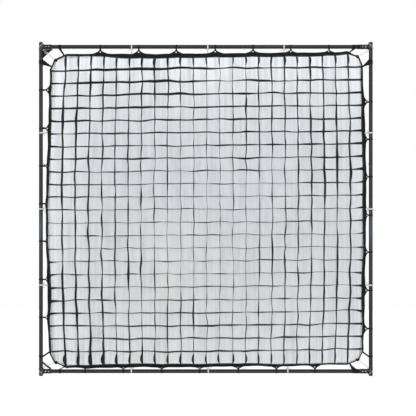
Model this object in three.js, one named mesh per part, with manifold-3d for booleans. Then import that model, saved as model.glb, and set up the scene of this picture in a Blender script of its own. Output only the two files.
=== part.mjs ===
// An 8 ft square tube frame that holds a white diffusion textile and, in front of it, a black fabric
// egg-crate grid. Both are tied to the tubes. Millimetres, +Z up. The panel stands in the XZ plane,
// its front faces -Y, and the origin is the middle of its bounding box.
//
// Each side of the frame is built in a frame of its own: X runs along the side, Z points away from the
// middle of the panel, and a turn about Y puts the side in its place. Seen from the front the sides run
// clockwise: the top one from left to right, the right one from top to bottom, and so on.
import * as THREE from "three";
import { mergeVertices } from "three/addons/utils/BufferGeometryUtils.js";
import Module from "manifold-3d";

const wasm = await Module();
wasm.setup();

// ---- Driving dimensions ----

const FRAME_SIZE = 2438; // outside width and height, 8 ft
const TUBE_RADIUS = 14;
const TUBE_WALL = 1.5;
const TUBE_SIDES = 20;
const TOUCHING_GAP = 0.3; // left between pieces that touch

const RAIL_INSET = 34; // from the end of a post to the axis of a rail
const LONG_SECTION = 1524; // 5 ft from the frame's outside face to the joint, the other section is 3 ft

const SLEEVE_LENGTH = 160; // tube inside each joint, half in either section
const SLEEVE_WALL = 1.5;
const BUTTON_OFFSET = 25; // from the joint to the snap button
const BUTTON_RADIUS = 4;
const BUTTON_PROUD = 6; // how far the button stands out of the tube
const BUTTON_HOLE_RADIUS = 4.4;
const SPRING_STRIP = 0.8;
const SPRING_WIDTH = 8;

const CAP_HEAD = 5; // thickness of an end cap outside the tube
const CAP_STEM = 14; // depth of its plug inside the tube
const CAP_EDGE = 3; // rounded edge of its head
const CAP_ROUNDING = 0.3; // share of that edge that the middle of its rounding stands in

const SOCKET_REACH = 92; // from the frame's outside face to the mouth of a corner socket
const SOCKET_WALL = 2.4;
const SADDLE_HEIGHT = 44;
const SADDLE_WALL = 2.8;
const SCREW_PLACES = [52, 74]; // from the frame's outside face
const SCREW_SHANK_RADIUS = 2.4;
const SCREW_HOLE_RADIUS = 2.8;
const SCREW_HEAD_RADIUS = 4.2;
const SCREW_HEAD_HEIGHT = 2.6;
const SCREW_HEAD_SIDE = 1; // height of the straight side of its head
const SCREW_HEAD_CROWN = 0.6; // share of the head's radius that is flat on top
const SCREW_DEPTH = 2; // how far the shank reaches into the rail's bore
const SOCKET_LIP = 1; // a thicker ring round the mouth of a corner socket
const SOCKET_LIP_LENGTH = 6;

const GRID_DEPTH = 60; // depth of the egg-crate strips
const GRID_CELLS = 24; // each way
const CELL_WIDTH = 94.4;
const CELL_HEIGHT = 93.3;
const STRIP_THICKNESS = 1.6;
const HEM_INSET = 3; // a hem across the strips' ends is this much narrower than they are, front and back
const HEM_OVERHANG = 2; // how far a hem and the strips run past each other
const GRID_SHIFT = new THREE.Vector3(9, 0, -9); // the grid hangs a little right of and below the middle
const BORDER_HALF = 1138; // from the grid's middle to its border
const BORDER_THICKNESS = 2.5;
const BORDER_END_GAP = 1.2; // left between the ends of two sides of the border
const CORNER_LEG = 96; // length of a side that a cut-off corner takes away
const CORNER_PULL = 27; // how far inside the square corner the middle of the cut is pulled out to

const STRAP_COUNT = 7; // sewn straps on each side, besides one at each end
const STRAP_PITCH = 277.6;
const STRAP_OFFSET = 48; // the row of straps starts nearer one end, the same way round on each side
const STRAP_WIDTH = 12;
const STRAP_THICKNESS = 1.6;
const TAB_BASE = 72; // width of the triangular tab where it leaves the border
const TAB_NECK = 0.75; // share of the way to the tube at which the tab is as narrow as its strap
const TAB_EYELET = 0.35; // and at which its eyelet sits
const TAB_FRONT = -4; // the tabs lie flat, just in front of the textile
const TAB_BACK = -2;
const GROMMET_RADIUS = 4;
const END_STRAP_LEAN = 32; // how far the strap at a cut-off corner leans towards the corner
const LOOP_SIDES = 8;

const TEXTILE_FRONT = 1;
const TEXTILE_BACK = 2.2;
const TEXTILE_HALF = 1134;
const TIES_PER_SIDE = 3;
const TIE_PITCH = 556;
const TIE_WIDTH = 10;
const TIE_THICKNESS = 1.2;

const WEB_STRAP_THICKNESS = 2.2; // broad webbing straps at the four corners
const WEB_STRAP_WIDTH = 30;
const TOP_LEFT_LEGS = { rail: 76, post: 66 }; // how far that strap's outer edge reaches along the tubes
const TOP_LEFT_CUT = 12; // its inner corner is cut off, clear of the weld
const BOTTOM_LEFT_INNER = { rail: 50, post: 40 }; // where that strap's inner edge meets the tubes
const BOTTOM_LEFT_OUTER = { rail: 66, post: 52 }; // and its outer edge

// ---- Sizes worked out from them ----

const HALF = FRAME_SIZE / 2;
const POST_AXIS = HALF - TUBE_RADIUS;
const RAIL_AXIS = HALF - RAIL_INSET;
const BORE_RADIUS = TUBE_RADIUS - TUBE_WALL;
const SLEEVE_RADIUS = BORE_RADIUS - TOUCHING_GAP;
const SLEEVE_BORE = SLEEVE_RADIUS - SLEEVE_WALL;
const JOINT = LONG_SECTION - HALF; // distance of a joint from the middle of its side
const SADDLE_RADIUS = TUBE_RADIUS + TOUCHING_GAP + SADDLE_WALL;
const SOCKET_RADIUS = TUBE_RADIUS + TOUCHING_GAP + SOCKET_WALL;
const RAIL_END = POST_AXIS - SADDLE_RADIUS - TOUCHING_GAP;
const POST_END = HALF - CAP_HEAD;

// The rails run between the posts. A joint is 3 ft from the right-hand end of a rail and from the top of
// a post, and its button is in the long section of a rail and in the short section of a post.
const SIDES = [
  { name: "top", turn: 0, joint: JOINT, button: JOINT - BUTTON_OFFSET },
  { name: "right", turn: Math.PI / 2, joint: -JOINT, button: -JOINT - BUTTON_OFFSET },
  { name: "bottom", turn: Math.PI, joint: -JOINT, button: BUTTON_OFFSET - JOINT },
  { name: "left", turn: -Math.PI / 2, joint: JOINT, button: JOINT + BUTTON_OFFSET },
];
for (const side of SIDES) {
  side.isRail = side.name === "top" || side.name === "bottom";
  side.axis = side.isRail ? RAIL_AXIS : POST_AXIS;
  side.end = side.isRail ? RAIL_END : POST_END;
}
const CORNERS = [
  { name: "top_left", x: -1, z: 1 },
  { name: "top_right", x: 1, z: 1 },
  { name: "bottom_left", x: -1, z: -1 },
  { name: "bottom_right", x: 1, z: -1 },
];

// ---- Materials ----

function material(name, color, roughness, metalness) {
  return new THREE.MeshStandardMaterial({ name, color, roughness, metalness });
}

const MATERIALS = {
  black_tube: () => material("black_tube", 0x3b4043, 0.45, 0.6),
  bare_aluminium: () => material("bare_aluminium", 0xa9adb0, 0.4, 0.9),
  black_casting: () => material("black_casting", 0x2f3436, 0.55, 0.5),
  bright_steel: () => material("bright_steel", 0xb4b8ba, 0.35, 0.9),
  black_plastic: () => material("black_plastic", 0x2b2e2f, 0.6, 0),
  black_webbing: () => material("black_webbing", 0x24292a, 0.9, 0),
  grid_fabric: () => material("grid_fabric", 0x262c2d, 0.95, 0),
  white_textile: () => material("white_textile", 0xe2e4e8, 0.95, 0),
  white_tape: () => material("white_tape", 0xf0f0ee, 0.9, 0),
};

// ---- Solids ----

function solidOf(geometry) {
  const bare = geometry.clone();
  bare.deleteAttribute("normal");
  bare.deleteAttribute("uv");
  const merged = mergeVertices(bare, 1e-4);
  const mesh = new wasm.Mesh({
    numProp: 3,
    vertProperties: Float32Array.from(merged.attributes.position.array),
    triVerts: Uint32Array.from(merged.index.array),
  });
  return new wasm.Manifold(mesh);
}

function geometryOf(solid) {
  const mesh = solid.getMesh();
  const geometry = new THREE.BufferGeometry();
  geometry.setAttribute("position", new THREE.BufferAttribute(mesh.vertProperties, 3));
  geometry.setIndex(new THREE.BufferAttribute(mesh.triVerts, 1));
  geometry.computeVertexNormals();
  return geometry;
}

function joined(geometries) {
  return geometries.map(solidOf).reduce((whole, piece) => whole.add(piece));
}

function without(solid, geometries) {
  return geometries.map(solidOf).reduce((whole, piece) => whole.subtract(piece), solid);
}

// A round bar along X, from one place on it to another, on an axis at height z.
function barAlongX(radius, from, to, z, sides = TUBE_SIDES) {
  const turn = Math.PI / sides; // a flat side faces the front
  const geometry = new THREE.CylinderGeometry(radius, radius, to - from, sides, 1, false, turn);
  geometry.rotateZ(Math.PI / 2);
  geometry.translate((from + to) / 2, 0, z);
  return geometry;
}

function barAlongY(radius, from, to, x, z, sides = 10) {
  const geometry = new THREE.CylinderGeometry(radius, radius, to - from, sides);
  geometry.translate(x, (from + to) / 2, z);
  return geometry;
}

function barAlongZ(radius, from, to, x, sides = TUBE_SIDES) {
  const geometry = new THREE.CylinderGeometry(radius, radius, to - from, sides, 1, false, Math.PI / sides);
  geometry.rotateX(Math.PI / 2);
  geometry.translate(x, 0, (from + to) / 2);
  return geometry;
}

function box(low, high) {
  const geometry = new THREE.BoxGeometry(high[0] - low[0], high[1] - low[1], high[2] - low[2]);
  geometry.translate((low[0] + high[0]) / 2, (low[1] + high[1]) / 2, (low[2] + high[2]) / 2);
  return geometry;
}

// An outline drawn in the XZ plane, given thickness from front to back along Y.
function plate(shape, front, back) {
  const options = { depth: back - front, bevelEnabled: false, curveSegments: 8 };
  const geometry = new THREE.ExtrudeGeometry(shape, options);
  geometry.rotateX(Math.PI / 2);
  geometry.translate(0, back, 0);
  return geometry;
}

function outline(points) {
  return new THREE.Shape(points.map(([x, z]) => new THREE.Vector2(x, z)));
}

// A profile of radii and heights, turned about Z.
function turnedAboutZ(profile, sides) {
  const points = profile.map(([radius, height]) => new THREE.Vector2(radius, height));
  const geometry = new THREE.LatheGeometry(points, sides);
  geometry.rotateX(Math.PI / 2);
  return geometry;
}

// ---- Tube sections, sleeves and snap buttons ----

function screwPlaces() {
  return SCREW_PLACES.flatMap((place) => [place - HALF, HALF - place]);
}

function screwHole(x, z) {
  return barAlongY(SCREW_HOLE_RADIUS, -SOCKET_RADIUS - 1, 0, x, z);
}

function buttonHole(x, axis) {
  return barAlongZ(BUTTON_HOLE_RADIUS, axis - TUBE_RADIUS - 1, axis, x, 12);
}

function tube(outer, inner, from, to, axis, holes) {
  const bar = solidOf(barAlongX(outer, from, to, axis));
  return geometryOf(without(bar, [barAlongX(inner, from - 1, to + 1, axis), ...holes]));
}

function sections(side) {
  const screws = side.isRail ? screwPlaces() : [];
  const spans = {
    low: [-side.end, side.joint - TOUCHING_GAP / 2],
    high: [side.joint + TOUCHING_GAP / 2, side.end],
  };
  const longSpan = side.joint > 0 ? spans.low : spans.high;
  const shortSpan = side.joint > 0 ? spans.high : spans.low;
  const sectionOf = ([from, to]) => {
    const holes = screws.filter((x) => x > from && x < to).map((x) => screwHole(x, side.axis));
    if (side.button > from && side.button < to) holes.push(buttonHole(side.button, side.axis));
    return tube(TUBE_RADIUS, BORE_RADIUS, from, to, side.axis, holes);
  };
  return { long: sectionOf(longSpan), short: sectionOf(shortSpan) };
}

function jointSleeve(side) {
  const from = side.joint - SLEEVE_LENGTH / 2;
  const to = side.joint + SLEEVE_LENGTH / 2;
  return tube(SLEEVE_RADIUS, SLEEVE_BORE, from, to, side.axis, [buttonHole(side.button, side.axis)]);
}

const BUTTON_FLANGE_RADIUS = 5.4;
const BUTTON_BASE = 7.5; // from the tube's axis to the underside of the button's flange
const BUTTON_FLANGE_TOP = 8.8;
const BUTTON_TIP = TUBE_RADIUS + BUTTON_PROUD;
const BUTTON_DOME = [[1, 2], [0.75, 0.6], [0.4, 0]]; // shares of its radius, and depths below its tip

// The button points at the middle of the panel, so pressing it moves it outwards, into the tube.
function snapButton(side) {
  const profile = [
    [0, BUTTON_BASE],
    [BUTTON_FLANGE_RADIUS, BUTTON_BASE],
    [BUTTON_FLANGE_RADIUS, BUTTON_FLANGE_TOP],
    [BUTTON_RADIUS, BUTTON_FLANGE_TOP],
    ...BUTTON_DOME.map(([share, depth]) => [BUTTON_RADIUS * share, BUTTON_TIP - depth]),
    [0, BUTTON_TIP],
  ];
  const geometry = turnedAboutZ(profile, 12);
  geometry.rotateX(Math.PI);
  geometry.translate(side.button, 0, side.axis);
  return geometry;
}

const SPRING_BEND = 42; // from the button to the bend of the spring
const SPRING_TIP = 8; // how far the legs run on past the button
const BUTTON_LEG = 7.2; // from the tube's axis to the face that the button stands on
const FAR_LEG = 9.1; // the other leg rests on the far wall of the sleeve

// A strip bent into a V lies in the sleeve, with its bend pointing away from the joint.
function buttonSpring(side) {
  const away = Math.sign(side.button - side.joint);
  const shape = outline([
    [-SPRING_TIP, -BUTTON_LEG],
    [SPRING_TIP, -BUTTON_LEG],
    [SPRING_BEND, -SPRING_STRIP * 2],
    [SPRING_BEND + 2, 0],
    [SPRING_BEND, SPRING_STRIP * 2],
    [SPRING_TIP, FAR_LEG],
    [-SPRING_TIP, FAR_LEG],
    [-SPRING_TIP, FAR_LEG - SPRING_STRIP],
    [SPRING_TIP, FAR_LEG - SPRING_STRIP],
    [SPRING_BEND - 1, SPRING_STRIP],
    [SPRING_BEND - 1, -SPRING_STRIP],
    [SPRING_TIP, SPRING_STRIP - BUTTON_LEG],
    [-SPRING_TIP, SPRING_STRIP - BUTTON_LEG],
  ].map(([x, z]) => [x * away, z]));
  const geometry = plate(shape, -SPRING_WIDTH / 2, SPRING_WIDTH / 2);
  geometry.translate(side.button, 0, side.axis);
  return geometry;
}

// ---- Corners of the frame ----

// A saddle that hugs the inner half of the post, and a socket that the rail's end sits in.
// It is built for the right-hand side, and is the same upside down.
function cornerFitting() {
  const mouth = HALF - SOCKET_REACH;
  const saddle = solidOf(barAlongZ(SADDLE_RADIUS, -SADDLE_HEIGHT / 2, SADDLE_HEIGHT / 2, POST_AXIS));
  const outerHalf = box([POST_AXIS - 2, -30, -SADDLE_HEIGHT], [POST_AXIS + 30, 30, SADDLE_HEIGHT]);
  const socket = joined([
    barAlongX(SOCKET_RADIUS, mouth, POST_AXIS - TUBE_RADIUS, 0),
    barAlongX(SOCKET_RADIUS + SOCKET_LIP, mouth, mouth + SOCKET_LIP_LENGTH, 0),
  ]);
  const body = without(saddle, [outerHalf]).add(socket);
  const cutters = [
    barAlongZ(TUBE_RADIUS + TOUCHING_GAP, -SADDLE_HEIGHT, SADDLE_HEIGHT, POST_AXIS),
    barAlongX(TUBE_RADIUS + TOUCHING_GAP, mouth - 1, RAIL_END + TOUCHING_GAP, 0),
    ...SCREW_PLACES.map((place) => screwHole(HALF - place, 0)),
  ];
  return geometryOf(without(body, cutters));
}

// A pan-head screw through the front of the socket and of the rail, with its axis on Y.
function cornerScrew() {
  const underHead = SOCKET_RADIUS + TOUCHING_GAP;
  const top = underHead + SCREW_HEAD_HEIGHT;
  const profile = [
    [0, BORE_RADIUS - SCREW_DEPTH],
    [SCREW_SHANK_RADIUS, BORE_RADIUS - SCREW_DEPTH],
    [SCREW_SHANK_RADIUS, underHead],
    [SCREW_HEAD_RADIUS, underHead],
    [SCREW_HEAD_RADIUS, underHead + SCREW_HEAD_SIDE],
    [SCREW_HEAD_RADIUS * SCREW_HEAD_CROWN, top],
    [0, top],
  ];
  const geometry = turnedAboutZ(profile, 10);
  geometry.rotateX(Math.PI / 2);
  return geometry;
}

// A plug in the end of a post, with its flat head up.
function endCap() {
  const profile = [
    [0, -CAP_STEM],
    [BORE_RADIUS - TOUCHING_GAP, -CAP_STEM],
    [BORE_RADIUS - TOUCHING_GAP, TOUCHING_GAP],
    [TUBE_RADIUS, TOUCHING_GAP],
    [TUBE_RADIUS, CAP_HEAD - CAP_EDGE],
    [TUBE_RADIUS - CAP_EDGE * CAP_ROUNDING, CAP_HEAD - CAP_EDGE * CAP_ROUNDING],
    [TUBE_RADIUS - CAP_EDGE, CAP_HEAD],
    [0, CAP_HEAD],
  ];
  return turnedAboutZ(profile, TUBE_SIDES);
}

// ---- Straps and ties round the tubes ----

// A loop of strap round the tube of a side. Its inner faces just clear the tube.
function loop(side, x, width, thickness) {
  const toCorners = 1 / Math.cos(Math.PI / LOOP_SIDES);
  const inner = (TUBE_RADIUS + TOUCHING_GAP) * toCorners;
  const outer = (TUBE_RADIUS + TOUCHING_GAP + thickness) * toCorners;
  const from = x - width / 2;
  const to = x + width / 2;
  const bar = solidOf(barAlongX(outer, from, to, side.axis, LOOP_SIDES));
  return without(bar, [barAlongX(inner, from - 1, to + 1, side.axis, LOOP_SIDES)]);
}

// The grid's shift, as a side sees it.
function shiftOn(side) {
  return GRID_SHIFT.clone().applyAxisAngle(new THREE.Vector3(0, 1, 0), -side.turn);
}

// ---- The egg-crate grid ----

// The outline of a band that follows a line of points, with square ends.
function band(points, width) {
  const along = points.slice(1).map((p, i) => new THREE.Vector2().subVectors(p, points[i]).normalize());
  const edge = (sign) => points.map((p, i) => {
    const before = along[Math.max(i - 1, 0)];
    const after = along[Math.min(i, along.length - 1)];
    const middle = new THREE.Vector2().addVectors(before, after).normalize();
    const reach = (sign * width) / 2 / middle.dot(before);
    return new THREE.Vector2(p.x - middle.y * reach, p.y + middle.x * reach);
  });
  return new THREE.Shape([...edge(-1), ...edge(1).reverse()]);
}

// One side of the border, from cut-off corner to cut-off corner, with the straps sewn to it.
function gridBorder(side) {
  const shift = shiftOn(side);
  const line = BORDER_HALF + shift.z;
  const bend = BORDER_HALF - CORNER_LEG;
  const start = new THREE.Vector2(bend, BORDER_HALF);
  const end = new THREE.Vector2(BORDER_HALF - CORNER_PULL, BORDER_HALF - CORNER_PULL);
  end.lerp(start, BORDER_END_GAP / end.distanceTo(start));
  const points = [[-end.x, end.y], [-start.x, start.y], [start.x, start.y], [end.x, end.y]]
    .map(([x, z]) => new THREE.Vector2(x + shift.x, z + shift.z));
  const pieces = [plate(band(points, BORDER_THICKNESS), -GRID_DEPTH, 0)];
  const tubeEdge = side.axis - TUBE_RADIUS - TOUCHING_GAP - STRAP_THICKNESS / 2;
  const loops = [];

  for (let i = 0; i < STRAP_COUNT; i++) {
    const x = STRAP_OFFSET + (i - (STRAP_COUNT - 1) / 2) * STRAP_PITCH + shift.x;
    const neck = line + (tubeEdge - line) * TAB_NECK;
    const tab = outline([
      [x - TAB_BASE / 2, line],
      [x + TAB_BASE / 2, line],
      [x + STRAP_WIDTH / 2, neck],
      [x + STRAP_WIDTH / 2, tubeEdge],
      [x - STRAP_WIDTH / 2, tubeEdge],
      [x - STRAP_WIDTH / 2, neck],
    ]);
    const eyelet = new THREE.Path();
    eyelet.absarc(x, line + (tubeEdge - line) * TAB_EYELET, GROMMET_RADIUS, 0, Math.PI * 2);
    tab.holes.push(eyelet);
    pieces.push(plate(tab, TAB_FRONT, TAB_BACK));
    loops.push(loop(side, x, STRAP_WIDTH, STRAP_THICKNESS));
  }
  for (const way of [-1, 1]) {
    const foot = way * bend + shift.x;
    const top = way * (bend + END_STRAP_LEAN) + shift.x;
    const strap = outline([
      [foot - STRAP_WIDTH / 2, line],
      [foot + STRAP_WIDTH / 2, line],
      [top + STRAP_WIDTH / 2, tubeEdge],
      [top - STRAP_WIDTH / 2, tubeEdge],
    ]);
    pieces.push(plate(strap, TAB_FRONT, TAB_BACK));
    loops.push(loop(side, top, STRAP_WIDTH, STRAP_THICKNESS));
  }
  return geometryOf(loops.reduce((whole, ring) => whole.add(ring), joined(pieces)));
}

// The strips that run one way, joined near each end by a hem that is a little narrower than they are
// deep. The upright ones fill the rear half of the depth and the level ones the front half, as their
// halving slots would leave them at a crossing.
function gridStrips(pitch, front, back, quarterTurn) {
  const reach = BORDER_HALF - BORDER_THICKNESS / 2 - TOUCHING_GAP;
  const half = STRIP_THICKNESS / 2;
  const outermost = (GRID_CELLS / 2 - 1) * pitch + half + HEM_OVERHANG;
  const hemOuter = reach - HEM_OVERHANG;
  const hemInner = hemOuter - STRIP_THICKNESS;
  const pieces = [
    box([-outermost, front + HEM_INSET, hemInner], [outermost, back - HEM_INSET, hemOuter]),
    box([-outermost, front + HEM_INSET, -hemOuter], [outermost, back - HEM_INSET, -hemInner]),
  ];
  for (let i = 1; i < GRID_CELLS; i++) {
    const x = (i - GRID_CELLS / 2) * pitch;
    pieces.push(box([x - half, front, -reach], [x + half, back, reach]));
  }
  const geometry = geometryOf(joined(pieces));
  if (quarterTurn) geometry.rotateY(Math.PI / 2);
  return geometry;
}

// ---- The textile and its ties ----

function diffusionTextile() {
  const flat = TEXTILE_HALF - CORNER_LEG;
  const pulled = TEXTILE_HALF - CORNER_PULL;
  const quarter = [[flat, TEXTILE_HALF], [pulled, pulled], [TEXTILE_HALF, flat]];
  const points = [0, 1, 2, 3].flatMap((turns) => quarter.map(([x, z]) => {
    const point = new THREE.Vector2(x, z).rotateAround(new THREE.Vector2(), (-turns * Math.PI) / 2);
    return [point.x, point.y];
  }));
  return plate(outline(points), TEXTILE_FRONT, TEXTILE_BACK);
}

// A white tape looped round the tube, with its tail reaching the textile's hem.
function textileTie(side, x) {
  const hem = TEXTILE_HALF + shiftOn(side).z + TOUCHING_GAP;
  const tubeEdge = side.axis - TUBE_RADIUS - TOUCHING_GAP - TIE_THICKNESS / 2;
  const tail = box([x - TIE_WIDTH / 2, TEXTILE_FRONT, hem], [x + TIE_WIDTH / 2, TEXTILE_BACK, tubeEdge]);
  return geometryOf(loop(side, x, TIE_WIDTH, TIE_THICKNESS).add(solidOf(tail)));
}

// ---- Broad webbing straps at the corners ----

const WEB_HALF = WEB_STRAP_THICKNESS / 2;
const INNER_POST_FACE = POST_AXIS - TUBE_RADIUS - TOUCHING_GAP;
const INNER_SOCKET_FACE = RAIL_AXIS - SOCKET_RADIUS - SOCKET_LIP - TOUCHING_GAP;

// At the top left the strap lies flat across the inner corner and fills it.
function topLeftWebStrap() {
  const shape = outline([
    [-INNER_POST_FACE, INNER_SOCKET_FACE - TOP_LEFT_LEGS.post],
    [-INNER_POST_FACE + TOP_LEFT_LEGS.rail, INNER_SOCKET_FACE],
    [-INNER_POST_FACE + TOP_LEFT_CUT, INNER_SOCKET_FACE],
    [-INNER_POST_FACE, INNER_SOCKET_FACE - TOP_LEFT_CUT],
  ]);
  return plate(shape, -WEB_HALF, WEB_HALF);
}

// At the bottom left it runs across the inner corner with its edge to the front.
function bottomLeftWebStrap() {
  const shape = outline([
    [-INNER_POST_FACE, -INNER_SOCKET_FACE + BOTTOM_LEFT_OUTER.post],
    [-INNER_POST_FACE, -INNER_SOCKET_FACE + BOTTOM_LEFT_INNER.post],
    [-INNER_POST_FACE + BOTTOM_LEFT_INNER.rail, -INNER_SOCKET_FACE],
    [-INNER_POST_FACE + BOTTOM_LEFT_OUTER.rail, -INNER_SOCKET_FACE],
  ]);
  return plate(shape, -WEB_STRAP_WIDTH / 2, WEB_STRAP_WIDTH / 2);
}

// At the right-hand corners it is wound round the rail, beside the corner fitting.
function wrappedWebStrap(side, direction) {
  const x = direction * (HALF - SOCKET_REACH - WEB_STRAP_WIDTH / 2 - TOUCHING_GAP);
  return geometryOf(loop(side, x, WEB_STRAP_WIDTH, WEB_STRAP_THICKNESS));
}

// ---- Assembly ----

const panel = new THREE.Group();

function add(parent, name, geometry, materialName) {
  const mesh = new THREE.Mesh(geometry, MATERIALS[materialName]());
  mesh.name = name;
  parent.add(mesh);
  return mesh;
}

const sideGroups = {};
for (const side of SIDES) {
  const group = new THREE.Group();
  group.rotation.y = side.turn;
  sideGroups[side.name] = group;
  panel.add(group);

  const tubeName = side.isRail ? "rail" : "post";
  const { long, short } = sections(side);
  add(group, `${side.name}_${tubeName}_long`, long, "black_tube");
  add(group, `${side.name}_${tubeName}_short`, short, "black_tube");
  add(group, `${side.name}_joint_sleeve`, jointSleeve(side), "bare_aluminium");
  add(group, `${side.name}_snap_button`, snapButton(side), "bright_steel");
  add(group, `${side.name}_button_spring`, buttonSpring(side), "bright_steel");
  add(group, `grid_border_${side.name}`, gridBorder(side), "black_webbing");
  for (let i = 0; i < TIES_PER_SIDE; i++) {
    const x = (i - (TIES_PER_SIDE - 1) / 2) * TIE_PITCH;
    add(group, `${side.name}_textile_tie_${i + 1}`, textileTie(side, x), "white_tape");
  }
}

for (const corner of CORNERS) {
  const fitting = add(panel, `${corner.name}_corner_fitting`, cornerFitting(), "black_casting");
  fitting.position.z = corner.z * RAIL_AXIS;
  if (corner.x < 0) fitting.scale.x = -1;

  const cap = add(panel, `${corner.name}_end_cap`, endCap(), "black_plastic");
  cap.position.set(corner.x * POST_AXIS, 0, corner.z * POST_END);
  cap.rotation.x = corner.z > 0 ? 0 : Math.PI;

  SCREW_PLACES.forEach((place, i) => {
    const name = `${corner.name}_screw_${["outer", "inner"][i]}`;
    const screw = add(panel, name, cornerScrew(), "bright_steel");
    screw.position.set(corner.x * (HALF - place), 0, corner.z * RAIL_AXIS);
  });
}

add(panel, "top_left_corner_strap", topLeftWebStrap(), "black_webbing");
add(panel, "bottom_left_corner_strap", bottomLeftWebStrap(), "black_webbing");
add(sideGroups.top, "top_right_corner_strap", wrappedWebStrap(SIDES[0], 1), "black_webbing");
add(sideGroups.bottom, "bottom_right_corner_strap", wrappedWebStrap(SIDES[2], -1), "black_webbing");

const cloth = new THREE.Group();
cloth.position.copy(GRID_SHIFT);
panel.add(cloth);
const middleDepth = -GRID_DEPTH / 2;
const upright = gridStrips(CELL_WIDTH, middleDepth + TOUCHING_GAP, -TOUCHING_GAP, false);
const level = gridStrips(CELL_HEIGHT, -GRID_DEPTH, middleDepth, true);
add(cloth, "grid_upright_strips", upright, "grid_fabric");
add(cloth, "grid_level_strips", level, "grid_fabric");
add(cloth, "diffusion_textile", diffusionTextile(), "white_textile");

// The origin is the middle of the bounding box.
const middle = new THREE.Box3().setFromObject(panel).getCenter(new THREE.Vector3());
panel.position.sub(middle);

export default panel;
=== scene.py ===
import math

import bmesh
import bpy
import numpy as np
from mathutils import Matrix, Vector


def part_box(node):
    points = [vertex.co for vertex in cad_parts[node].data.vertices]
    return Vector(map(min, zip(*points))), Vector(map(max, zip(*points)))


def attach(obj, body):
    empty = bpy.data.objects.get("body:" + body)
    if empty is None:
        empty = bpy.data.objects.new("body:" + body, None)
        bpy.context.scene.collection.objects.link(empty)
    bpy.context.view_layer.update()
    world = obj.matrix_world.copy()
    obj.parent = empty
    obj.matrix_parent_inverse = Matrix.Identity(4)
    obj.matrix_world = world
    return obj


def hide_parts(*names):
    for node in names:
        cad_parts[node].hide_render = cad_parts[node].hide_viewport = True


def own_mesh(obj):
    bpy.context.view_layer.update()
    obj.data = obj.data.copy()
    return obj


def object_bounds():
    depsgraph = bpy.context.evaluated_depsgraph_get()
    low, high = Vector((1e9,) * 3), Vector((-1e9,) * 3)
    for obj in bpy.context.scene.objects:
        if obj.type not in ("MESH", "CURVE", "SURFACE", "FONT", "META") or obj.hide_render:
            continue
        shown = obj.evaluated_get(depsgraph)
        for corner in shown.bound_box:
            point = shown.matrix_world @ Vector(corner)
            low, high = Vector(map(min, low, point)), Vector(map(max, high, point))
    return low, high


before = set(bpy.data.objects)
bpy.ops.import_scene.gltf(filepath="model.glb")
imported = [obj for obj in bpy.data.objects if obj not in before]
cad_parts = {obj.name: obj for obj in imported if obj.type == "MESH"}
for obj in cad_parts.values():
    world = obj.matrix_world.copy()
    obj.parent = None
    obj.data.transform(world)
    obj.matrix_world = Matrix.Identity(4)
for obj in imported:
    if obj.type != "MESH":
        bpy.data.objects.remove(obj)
CAD_LOW, CAD_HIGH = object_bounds()

# An 8 ft tube frame with a white diffusion textile and a black fabric egg crate tied into it.
# Metres, +Z up, the front faces -Y. Each side is built in its own coordinates: X runs along it, Z points
# away from the middle of the panel, Y = 0 is the plane of the tubes' axes.

RANDOM = np.random.default_rng(11)

# ---- Sizes ----

TUBE_RADIUS = 0.014
TUBE_WALL = 0.0015
TUBE_SIDES = 56
GAP = 0.0003
EDGE = 0.0005  # small chamfers on cut edges
HOLE_WAIST = 0.012  # from a button's hole to the rings that keep its cut short

SLEEVE_WALL = 0.0015
SLEEVE_LENGTH = 0.16
BUTTON_RADIUS = 0.004
BUTTON_PROUD = 0.006
BUTTON_HOLE_RADIUS = 0.0044
FLANGE_RADIUS = 0.0054
FLANGE_BASE = 0.0075
FLANGE_TOP = 0.0088
BUTTON_LEG = 0.0068  # the spring's middle line under the button, from the tube's axis
FAR_LEG = 0.0087
SPRING_BEND = 0.042
SPRING_TIP = 0.008
SPRING_WIDTH = 0.008
SPRING_STRIP = 0.0008

CAP_HEAD = 0.005
CAP_STEM = 0.014
SOCKET_REACH = 0.092
SOCKET_WALL = 0.0024
SOCKET_LIP = 0.001
SADDLE_HEIGHT = 0.044
SADDLE_WALL = 0.0028
SCREW_PLACES = (0.052, 0.074)

GRID_DEPTH = 0.060
GRID_CELLS = 24
CELL_WIDTH = 0.0944
CELL_HEIGHT = 0.0933
GRID_SHIFT_X = 0.0075
GRID_SHIFT_Z = -0.0023
BORDER_HALF = 1.138
BORDER_THICKNESS = 0.0022
CORNER_LEG = 0.096
CORNER_PULL = 0.027
STRIP_THICKNESS = 0.0014
STRIP_HEM = 0.0026  # thickness of a strip's folded front edge

STRAP_COUNT = 7
STRAP_PITCH = 0.2776
STRAP_OFFSET = 0.048
STRAP_WIDTH = 0.011
STRAP_THICKNESS = 0.0015
TAB_Y = -0.003
EYELET_RADIUS = 0.0042
END_STRAP_LEAN = 0.032
END_STRAP_FOOT = 0.0065  # half its width where it is sewn on
EDGING_LAP = 0.002
EDGING_END = 0.12  # the edging's width at a knot, as a share of its full width

TEXTILE_HALF = 1.134
TEXTILE_Y = 0.0016
TEXTILE_THICKNESS = 0.0006
TEXTILE_HEM = 0.013
TEXTILE_LEG = 0.086
TEXTILE_PULL = 0.020
TIE_PITCH = 0.556
TIE_WIDTH = 0.010
TIE_THICKNESS = 0.0011

WEB_THICKNESS = 0.0022
WEB_WIDTH = 0.030
CORNER_CORD_RADIUS = 0.0014


def middle(node):
    low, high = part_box(node)
    return (low + high) / 2


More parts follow.
